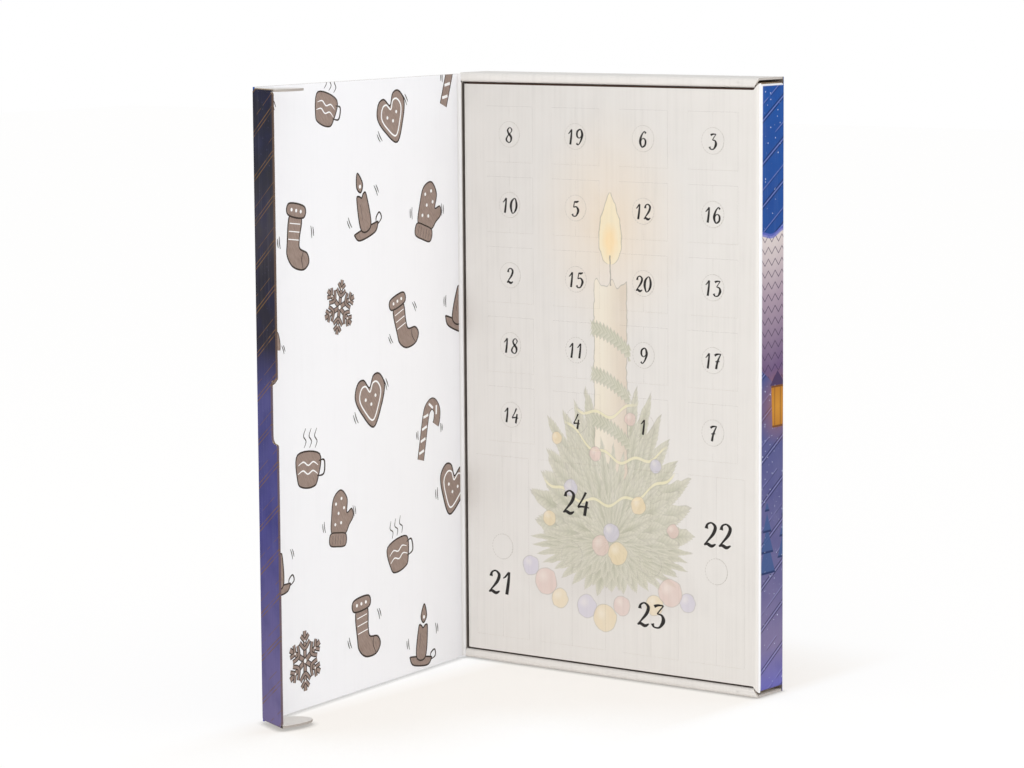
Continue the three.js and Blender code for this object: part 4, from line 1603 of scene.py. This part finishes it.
@dataclass
class Lining:
    """The motifs on the inside of the lid and of the tuck flap."""

    row_pitch: float = 66.0
    column_pitch: float = 70.0
    size: float = 1.28
    wander: Pair = (7.0, 6.0)  # how far a motif strays from its place
    tilt: float = 22.0  # and turns, in degrees
    spill: float = 12.0  # how far past the edge a motif may have its middle

    def build(self, inks: Sequence[bpy.types.Material]) -> None:
        """Prints both insides.

        Args:
            inks: edge of bands, fill, line and white.
        """
        lid, flap = (LID_WIDTH - 0.5, TOP - 0.9), (FLAP_WIDTH - 8.2, TOP - 3.6)
        self._print("lid_lining_print", LID_INSIDE, (0.3, 0.9), lid, "lid", inks, 0)
        self._print("flap_lining_print", FLAP_INSIDE, (0.6, 3.6), flap, "flap", inks, 3)
        log.info("lining: motifs on the lid and the flap")

    def _print(
        self,
        name: str,
        face: Face,
        low: Pair,
        high: Pair,
        body: str,
        inks: Sequence[bpy.types.Material],
        first: int,
    ) -> None:
        """Scatters the motifs over one face.

        Args:
            name: the piece's name.
            face: the face.
            low: the printed area's lower left corner.
            high: its upper right corner.
            body: what the face moves with.
            inks: edge of bands, fill, line and white.
            first: which motif comes first.
        """
        drawing = Drawing()
        kinds = list(Motif)
        rows = int((high[1] - low[1]) / self.row_pitch) + 2
        columns = int((high[0] - low[0]) / self.column_pitch) + 2
        for row in range(rows):
            for column in range(columns):
                k = row * 3 + column * 5 + first
                start = 0.15 if row % 2 else 0.62
                x = low[0] + (column + start) * self.column_pitch + self.wander[0] * math.sin(k * 2.4)
                start = 0.35 + 0.28 * (column % 2)
                y = low[1] + (row + start) * self.row_pitch + self.wander[1] * math.cos(k * 1.7)
                if x > high[0] + self.spill or y > high[1] + self.spill:
                    continue
                turn = Matrix.Rotation(math.radians(self.tilt * math.sin(k * 3.1)), 4, "Z")
                size = self.size * (1 + 0.1 * math.sin(k * 5.3))
                stretch = Matrix.Diagonal((size, size, 1, 1))
                drawing.restart()
                MotifPen(drawing, Matrix.Translation((x, y, 0)) @ turn @ stretch).draw(kinds[k % len(kinds)])
        for corner, outward in ((low, (-1, 0)), (low, (0, -1)), (high, (1, 0)), (high, (0, 1))):
            drawing.trim(corner, outward)
        drawing.finish(name, face, inks, body)


@dataclass
class RolledRims:
    """The rolled front edges: the stretch over each ear slot's mouth, closed as the board is there."""

    mouth: float = 14.6  # length of the slot's mouth
    low: float = 1.4  # foot of the corner, from the rim's outer face
    high: float = 3.2  # top of the corner
    strip_setback: float = 3.6  # how far the roll's inner end stays back from the right side
    outer_setback: float = 0.5  # and its outer end
    grip: float = 0.3  # how deep the corner reaches into the roll beside the mouth
    overlap: float = 0.02  # and into the boards below and above it
    rim: float = BoardFinish.RIM

    def build(self, white: bpy.types.Material) -> None:
        """Builds both stretches.

        Args:
            white: the rolled walls' material.
        """
        slope = (self.strip_setback - self.outer_setback) / (self.rim - self.low)
        for end, name in ((-1, "bottom"), (1, "top")):
            mesh = bmesh.new()
            bmesh.ops.create_cube(mesh, size=1)
            a, b = RIGHT - self.mouth - self.grip, RIGHT - self.outer_setback
            for vert in mesh.verts:
                rise = self.high + self.overlap if vert.co.z > 0 else self.low - self.overlap
                x = b - (rise - self.low) * slope if vert.co.x > 0 else a
                y = FRONT if vert.co.y < 0 else FRONT + BOARD
                vert.co = Vector((x, y, rise if end < 0 else TOP - rise)) * MM
            bmesh.ops.recalc_face_normals(mesh, faces=mesh.faces)
            finished(mesh, f"{name}_rim_corner", [white], "tray")
        log.info("rims: two closed corners")


@dataclass
class Folds:
    """The liners where they bend round the creases. Each pair steers a curve, by distances from the fold."""

    lift: float = 0.03  # of a skin over its board
    steps: int = 10
    spine_wall: Pair = (4.0, 1.5)
    spine_lid: Pair = (2.2, 5.0)
    lining_panel: Pair = (BOARD, 0.3)
    lining_lid: Pair = (0.9, 2.6)
    spine_margin: float = 0.9
    flap_bend: Pair = (2.6, 0.5)
    flap_margin: float = 3.2
    ear_board: Pair = (4.0, -0.1)
    ear_bend: Pair = (-0.4, -2.6)
    ear_inset: float = 0.8
    ear_level: float = BoardFinish.EAR_LEVEL

    def build(self, lid: bpy.types.Material, flap: bpy.types.Material, lining: bpy.types.Material) -> None:
        """Builds the skins of the spine, of the tuck flap and of its ears.

        Args:
            lid: print of the lid's outside.
            flap: print of the flap's outside.
            lining: the white liner inside.
        """
        out, tuck = LID_OUTSIDE.place(self.lift * MM), FLAP_OUTSIDE.place(self.lift * MM)
        inside = LID_INSIDE.place(self.lift * MM)
        spine = [Vector((LEFT - self.lift, FRONT + y, 0)) * MM for y in self.spine_wall]
        spine += [out @ Vector((u, 0, 0)) for u in self.spine_lid]
        self._standing("spine_fold", spine, self.spine_margin, lid)
        corner = [Vector((LEFT + x, FRONT - self.lift, 0)) * MM for x in self.lining_panel]
        corner += [inside @ Vector((LID_WIDTH - u, 0, 0)) for u in self.lining_lid]
        self._standing("spine_lining", corner, self.spine_margin, lining)
        bend = [out @ Vector((LID_WIDTH - u, 0, 0)) for u in self.flap_bend]
        bend += [tuck @ Vector((u, 0, 0)) for u in reversed(self.flap_bend)]
        self._standing("flap_fold_skin", bend, self.flap_margin, flap)
        for body, level, turn in (("ear_bottom", self.ear_level, 1), ("ear_top", TOP - self.ear_level, -1)):
            path = [tuck @ Vector((self.ear_inset, level + turn * v, 0)) for v in self.ear_board]
            path += [tuck @ Vector((self.ear_inset, level - turn * self.lift, w)) for w in self.ear_bend]
            sweep = Vector((*ALONG_FLAP, 0)) * (FLAP_WIDTH - 2 * self.ear_inset) * MM
            self._strip(f"{body}_fold", path, sweep, flap)
        log.info("folds: spine, tuck flap and ears")

    def _standing(
        self,
        name: str,
        path: Sequence[Vector],
        margin: float,
        material: bpy.types.Material,
    ) -> None:
        """Sweeps a strip up the box.

        Args:
            name: the piece's name.
            path: four points that steer the curve, at the foot of the box.
            margin: what it leaves free at both ends.
            material: its material.
        """
        raised = [point + Vector((0, 0, margin * MM)) for point in path]
        self._strip(name, raised, Vector((0, 0, (TOP - 2 * margin) * MM)), material)

    def _strip(
        self,
        name: str,
        path: Sequence[Vector],
        sweep: Vector,
        material: bpy.types.Material,
    ) -> None:
        """Sweeps a curved strip along a line.

        Args:
            name: the piece's name.
            path: four points that steer the curve.
            sweep: the line.
            material: its material.
        """
        a, b, c, d = path
        curve = []
        for k in range(self.steps + 1):
            t = k / self.steps
            curve.append(a * (1 - t) ** 3 + b * 3 * t * (1 - t) ** 2 + c * 3 * t**2 * (1 - t) + d * t**3)
        mesh = bmesh.new()
        verts = [mesh.verts.new(point) for point in curve]
        edges = [mesh.edges.new(pair) for pair in zip(verts, verts[1:])]
        made = bmesh.ops.extrude_edge_only(mesh, edges=edges)
        moved = [v for v in made["geom"] if isinstance(v, bmesh.types.BMVert)]
        bmesh.ops.translate(mesh, verts=moved, vec=sweep)
        for face in mesh.faces:
            face.smooth = True
        piece = finished(mesh, name, [material], None)
        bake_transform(piece)


def mirrored(half: Sequence[Pair]) -> list[Pair]:
    """Closes the right or left half of an outline with its mirror image."""
    return [*half, *((-x, y) for x, y in reversed(half) if x)]


@dataclass
class Sweets:
    """The chocolates in the blister: a bevelled bar for each window, with raised pads and a pressed sign."""

    margin: float = 8.0  # how much smaller a packed bar is than its window
    grow: float = 0.1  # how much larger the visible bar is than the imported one, which it covers
    top: float = 8.45
    height: float = 9.0
    corner: float = 4.0
    bevel: float = 1.5
    pad_margin: float = 3.2
    pad_gap: float = 3.0
    pad_pitch: float = 26.0  # aimed at; the pads share out the bar's length
    pad_height: float = 1.0
    pad_corner: float = 2.2
    pad_bevel: float = 0.5
    sign_height: float = 0.5
    sign_taper: float = 0.86
    sunk: float = 0.4  # how deep a pad starts in its bar; a sign starts half as deep in its pad

    SIGNS = (
        mirrored([(0, 6), (1.6, 2), (5.7, 1.9), (2.5, -0.8), (3.5, -4.8), (0, -2.6)]),
        mirrored([(0, 6), (3.4, 1.4), (1.8, 1.4), (4.8, -3.2), (1, -3.2), (1, -5.6)]),
        mirrored([(0, -5.6), (-4.6, -0.6), (-5.2, 2.6), (-3, 4.8), (-0.8, 4.2), (0, 2.6)]),
        mirrored([(0, 5.6), (1.6, 4.4), (3, 2), (3.2, -2), (5, -4)]),
    )

    def build(self, chocolate: bpy.types.Material) -> None:
        """Moulds every chocolate.

        Args:
            chocolate: its material.
        """
        for day in range(1, 25):
            low = Vector(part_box(f"leaf_{day:02d}_left")[0]) / MM
            high = Vector(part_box(f"leaf_{day:02d}_right")[1]) / MM
            width, height = (side - self.margin + self.grow for side in (high.x - low.x, high.z - low.z))
            mesh = bmesh.new()
            span = (self.top - self.height, self.top)
            self._block(mesh, (0, 0), (width, height), span, self.corner, self.bevel)
            columns = max(1, round((width - self.pad_margin) / self.pad_pitch))
            rows = max(1, round((height - self.pad_margin) / self.pad_pitch))
            step = ((width - self.pad_margin) / columns, (height - self.pad_margin) / rows)
            for column in range(columns):
                for row in range(rows):
                    spot = ((column + 0.5 - columns / 2) * step[0], (row + 0.5 - rows / 2) * step[1])
                    size = (step[0] - self.pad_gap + self.grow, step[1] - self.pad_gap + self.grow)
                    span = (self.top - self.sunk, self.top + self.pad_height)
                    self._block(mesh, spot, size, span, self.pad_corner, self.pad_bevel)
                    self._sign(mesh, spot, self.SIGNS[(day + column + row) % len(self.SIGNS)])
            bmesh.ops.recalc_face_normals(mesh, faces=mesh.faces)
            centre = Face(((low.x + high.x) / 2, 0), (1, 0))
            mesh.transform(centre.place(0) @ Matrix.Translation((0, (low.z + high.z) / 2, 0)))
            finished(mesh, f"chocolate_{day:02d}", [chocolate], "tray")
        log.info("sweets: 24 chocolates")

    @staticmethod
    def _block(
        mesh: bmesh.types.BMesh, spot: Pair, size: Pair, span: Pair, corner: float, bevel: float
    ) -> None:
        """Adds a slab with rounded corners and a bevelled top.

        Args:
            mesh: where it goes.
            spot: its middle.
            size: its width and height.
            span: its foot and its top.
            corner: radius of its corners.
            bevel: width of the bevel round its top.
        """
        made = bmesh.ops.create_cube(mesh, size=1)["verts"]
        for vert in made:
            x, y, z = vert.co
            vert.co = Vector((spot[0] + x * size[0], spot[1] + y * size[1], span[1] if z > 0 else span[0]))
        own = {edge for vert in made for edge in vert.link_edges}
        upright = [edge for edge in own if abs(edge.verts[0].co.z - edge.verts[1].co.z) > 0.1]
        bmesh.ops.bevel(
            mesh, geom=upright, offset=corner, segments=4, profile=0.5, affect="EDGES", material=-1
        )
        middle = Vector((*spot, span[1]))
        top = min(mesh.faces, key=lambda face: (face.calc_center_median() - middle).length)
        bmesh.ops.bevel(
            mesh, geom=list(top.edges), offset=bevel, segments=3, profile=0.5, affect="EDGES", material=-1
        )

    def _sign(self, mesh: bmesh.types.BMesh, spot: Pair, outline: Sequence[Pair]) -> None:
        """Presses a raised sign onto a pad.

        Args:
            mesh: where it goes.
            spot: the pad's middle.
            outline: the sign about its own middle.
        """
        level, sunk = self.top + self.pad_height, self.sunk / 2
        verts = [mesh.verts.new((spot[0] + x, spot[1] + y, level - sunk)) for x, y in outline]
        base = mesh.faces.new(verts)
        made = bmesh.ops.extrude_face_region(mesh, geom=[base], use_keep_orig=True)
        raised = [v for v in made["geom"] if isinstance(v, bmesh.types.BMVert)]
        bmesh.ops.translate(mesh, verts=raised, vec=(0, 0, sunk + self.sign_height))
        there = Matrix.Translation((*spot, 0))
        inward = there @ Matrix.Diagonal((self.sign_taper, self.sign_taper, 1, 1)) @ there.inverted()
        bmesh.ops.transform(mesh, matrix=inward, verts=raised)


@dataclass(frozen=True)
class Lamp:
    """A soft square lamp: where it hangs and its side in metres, and its power in watts."""

    name: str
    place: tuple[float, float, float]
    size: float
    power: float

    def hang(self, target: Vector) -> None:
        """Hangs the lamp so that it looks at a point.

        Args:
            target: the point, in metres.
        """
        data = bpy.data.lights.new(self.name, "AREA")
        data.size = self.size
        data.energy = self.power
        lamp = bpy.data.objects.new(self.name, data)
        lamp.location = self.place
        lamp.rotation_euler = (target - Vector(self.place)).to_track_quat("-Z", "Y").to_euler()
        bpy.context.scene.collection.objects.link(lamp)


@dataclass
class Studio:
    """Camera, lamps, floor and backdrop. Its places are in metres."""

    place: tuple[float, float, float] = (1.2763, -1.8113, 0.4587)
    azimuth: float = -36.91
    elevation: float = -7.02
    roll: float = -0.41
    focal: float = 3541.0  # in pixels of a frame 1024 wide
    frame_width: float = 1024.0
    sensor: float = 36.0
    lamps: tuple[Lamp, ...] = (
        Lamp("key", (0.9, -1.9, 0.4), 1.5, 15.6),
        Lamp("fill", (-1.8, -1.3, 0.15), 0.9, 7.0),
        Lamp("right", (2.2, -0.1, 0.3), 1.2, 9.5),
    )
    target: tuple[float, float, float] = (-0.02, -0.06, 0.19)
    daylight: float = 0.78
    floor_glow: float = 1.05
    floor_share: float = 0.8  # of that glow, where the rest is lit by the lamps
    contact: float = 0.5  # how much the painted contact shadow under the boards darkens it
    contact_reach: float = 0.005  # of the painted contact shadow under the boards
    shadow_reach: float = 0.16  # of the warm shadow between the lid and the tray
    shadow: tuple[float, float, float, float] = (0.915, 0.88, 0.84, 1.0)

    def build(self) -> None:
        """Sets the studio up."""
        scene = bpy.context.scene
        scene.view_settings.view_transform = "Standard"
        self._camera(scene)
        self._world(scene)
        self._floor()
        for lamp in self.lamps:
            lamp.hang(Vector(self.target))
        log.info("studio: camera, world, floor and %d lamps", len(self.lamps))

    def _camera(self, scene: bpy.types.Scene) -> None:
        """Places the camera at the photograph's angle.

        Args:
            scene: the scene.
        """
        az, el, roll = (math.radians(v) for v in (self.azimuth, self.elevation, self.roll))
        forward = Vector((math.sin(az) * math.cos(el), math.cos(az) * math.cos(el), math.sin(el)))
        level = Vector((math.cos(az), -math.sin(az), 0))
        upright = level.cross(forward)
        right = level * math.cos(roll) + upright * math.sin(roll)
        up = upright * math.cos(roll) - level * math.sin(roll)
        data = bpy.data.cameras.new("camera")
        data.sensor_width = self.sensor
        data.lens = self.focal / self.frame_width * self.sensor
        data.clip_end = 50
        camera = bpy.data.objects.new("camera", data)
        turn = Matrix((right, up, -forward)).transposed().to_4x4()
        camera.matrix_world = Matrix.Translation(self.place) @ turn
        scene.collection.objects.link(camera)
        scene.camera = camera

    def _world(self, scene: bpy.types.Scene) -> None:
        """Gives even soft light, and plain white behind the calendar.

        Args:
            scene: the scene.
        """
        world = bpy.data.worlds.new("studio")
        scene.world = world
        world.use_nodes = True
        tree = world.node_tree
        plain = tree.nodes["Background"]
        plain.inputs[0].default_value = (0.97, 0.985, 1.0, 1.0)
        plain.inputs[1].default_value = self.daylight
        white = tree.nodes.new("ShaderNodeBackground")
        white.inputs[0].default_value = (1, 1, 1, 1)
        white.inputs[1].default_value = 1.0
        mix = tree.nodes.new("ShaderNodeMixShader")
        join(tree, Palette(tree).seen(), mix.inputs[0])
        tree.links.new(plain.outputs[0], mix.inputs[1])
        tree.links.new(white.outputs[0], mix.inputs[2])
        tree.links.new(mix.outputs[0], tree.nodes["World Output"].inputs[0])

    def _floor(self) -> None:
        """Lays a pale floor that is white in the open, with the calendar's faint, warm shadow painted into
        its glow.
        """
        mesh = bmesh.new()
        bmesh.ops.create_grid(mesh, x_segments=1, y_segments=1, size=6)
        data = bpy.data.meshes.new("floor")
        mesh.to_mesh(data)
        mesh.free()
        floor = bpy.data.objects.new("floor", data)
        floor.location.z = -0.0002
        bpy.context.scene.collection.objects.link(floor)
        material, p, shader = new_material("pale_floor")
        tree = p.tree
        shader.inputs["Base Color"].default_value = (1.0, 0.965, 0.925, 1)
        shader.inputs["Roughness"].default_value = 0.9
        shader.inputs["Specular IOR Level"].default_value = 0.1
        # painted shadow: the glow is dimmed in a thin line where the boards stand, and warmed between the lid
        # and the tray
        near = p.closeness(self.contact_reach, samples=4, gain=2)
        shade = p.closeness(self.shadow_reach, samples=8, gain=5)
        place, _ = p.object_point()
        x = p.along(place, (1, 0, 0))
        between = x.over(LEFT + 24, 28) * x.under(RIGHT + 4, 16)
        tint = p.mix(shade * between, (1, 1, 1, 1), self.shadow)
        glow = p.node("ShaderNodeEmission", Color=tint, Strength=self.floor_glow - near * self.contact)
        mix = p.node("ShaderNodeMixShader")
        join(tree, p.seen() * self.floor_share, mix.inputs[0])
        tree.links.new(shader.outputs[0], mix.inputs[1])
        tree.links.new(glow.outputs[0], mix.inputs[2])
        tree.links.new(mix.outputs[0], tree.nodes["Material Output"].inputs[0])
        data.materials.append(material)


@dataclass
class Carton:
    """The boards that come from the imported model, each with its own finish."""

    streaks: float = 0.4
    shine: float = 0.06
    gloss: float = 0.4

    def dress(self) -> dict[str, bpy.types.Material]:
        """Gives every board its material.

        Returns:
            The materials that other pieces share.
        """
        door = BoardFinish(
            "door_print", DOOR_FRONT, Side.DOOR, Side.WHITE, Cut.ALL_ROUND, Fold.DOOR_LEG
        ).material()
        # the insides of the rims and walls carry the dark kraft tone of painted shade inside the box
        rims = BoardFinish("white_rim", DOOR_FRONT, Side.WHITE, Side.KRAFT, Cut.ROLL_ENDS).material()
        ears = BoardFinish("white_ear", FLAP_OUTSIDE, Side.WHITE, Side.WHITE, Cut.EAR_RIM).material()
        lid = BoardFinish(
            "lid_print", LID_OUTSIDE, Side.NIGHT, Side.COOL_WHITE,
            fold=Fold.PRINTED, streaks=0.35, shine=self.shine,
        ).material()
        flap = BoardFinish(
            "flap_print", FLAP_OUTSIDE, Side.NIGHT, Side.COOL_WHITE, Cut.ENDS_AND_FREE_EDGE, Fold.PRINTED,
            dusk=1.0, streaks=self.streaks, shine=0.04,
        ).material()
        side = BoardFinish(
            "side_print", RIGHT_SIDE, Side.NIGHT, Side.KRAFT, streaks=self.streaks, shine=self.shine
        ).material()
        spine = BoardFinish("spine_print", SPINE_SIDE, Side.NIGHT, Side.KRAFT, gloss=self.gloss).material()
        back = BoardFinish(
            "back_print", BACK_SIDE, Side.NIGHT, Side.KRAFT, fold=Fold.BACK_EDGES, gloss=self.gloss
        ).material()
        blister = InkFinish("blister", tone(70, 46, 34), tone(84, 56, 42), 0.25).material()
        finishes = {
            "back_panel": back, "spine_wall": spine, "right_wall": side, "door_panel": door, "lid_panel": lid,
            "tuck_flap": flap, "ear_bottom": ears, "ear_top": ears, "bottom_rolled_wall": rims,
            "top_rolled_wall": rims, "chocolate_tray": blister,
        }
        for name, node in frame["nodes"].items():
            node.data.materials.clear()
            node.data.materials.append(finishes.get(name, door))
        log.info("carton: %d boards dressed", len(frame["nodes"]))
        return {"door": door, "rims": rims, "lid": lid, "flap": flap}


def main() -> None:
    """Builds the calendar's looks and the studio."""
    logging.basicConfig(level=logging.INFO, format="%(name)s: %(message)s")
    Studio().build()
    Groups.build()
    boards = Carton().dress()
    black = InkFinish("black_ink", tone(34, 31, 30), tone(46, 41, 38)).material()
    nick = InkFinish("perforation", tone(186, 180, 172), tone(196, 191, 184)).material()
    taupe = InkFinish("taupe_fill", tone(140, 120, 110), tone(170, 152, 142)).material()
    brown = InkFinish("brown_line", tone(54, 42, 36), tone(44, 33, 28)).material()
    icing = InkFinish("white_ink", tone(246, 244, 244), tone(250, 250, 250)).material()
    liner = InkFinish("white_liner", tone(232, 230, 230), tone(228, 226, 226), 0.6).material()
    milk = InkFinish("milk_chocolate", tone(118, 72, 46), tone(132, 84, 56), 0.3).material()
    Doors().build(boards["door"], [black, nick])
    Lining().build([brown, taupe, brown, icing])
    RolledRims().build(boards["rims"])
    Folds().build(boards["lid"], boards["flap"], liner)
    Sweets().build(milk)


if __name__ == "__main__":
    main()
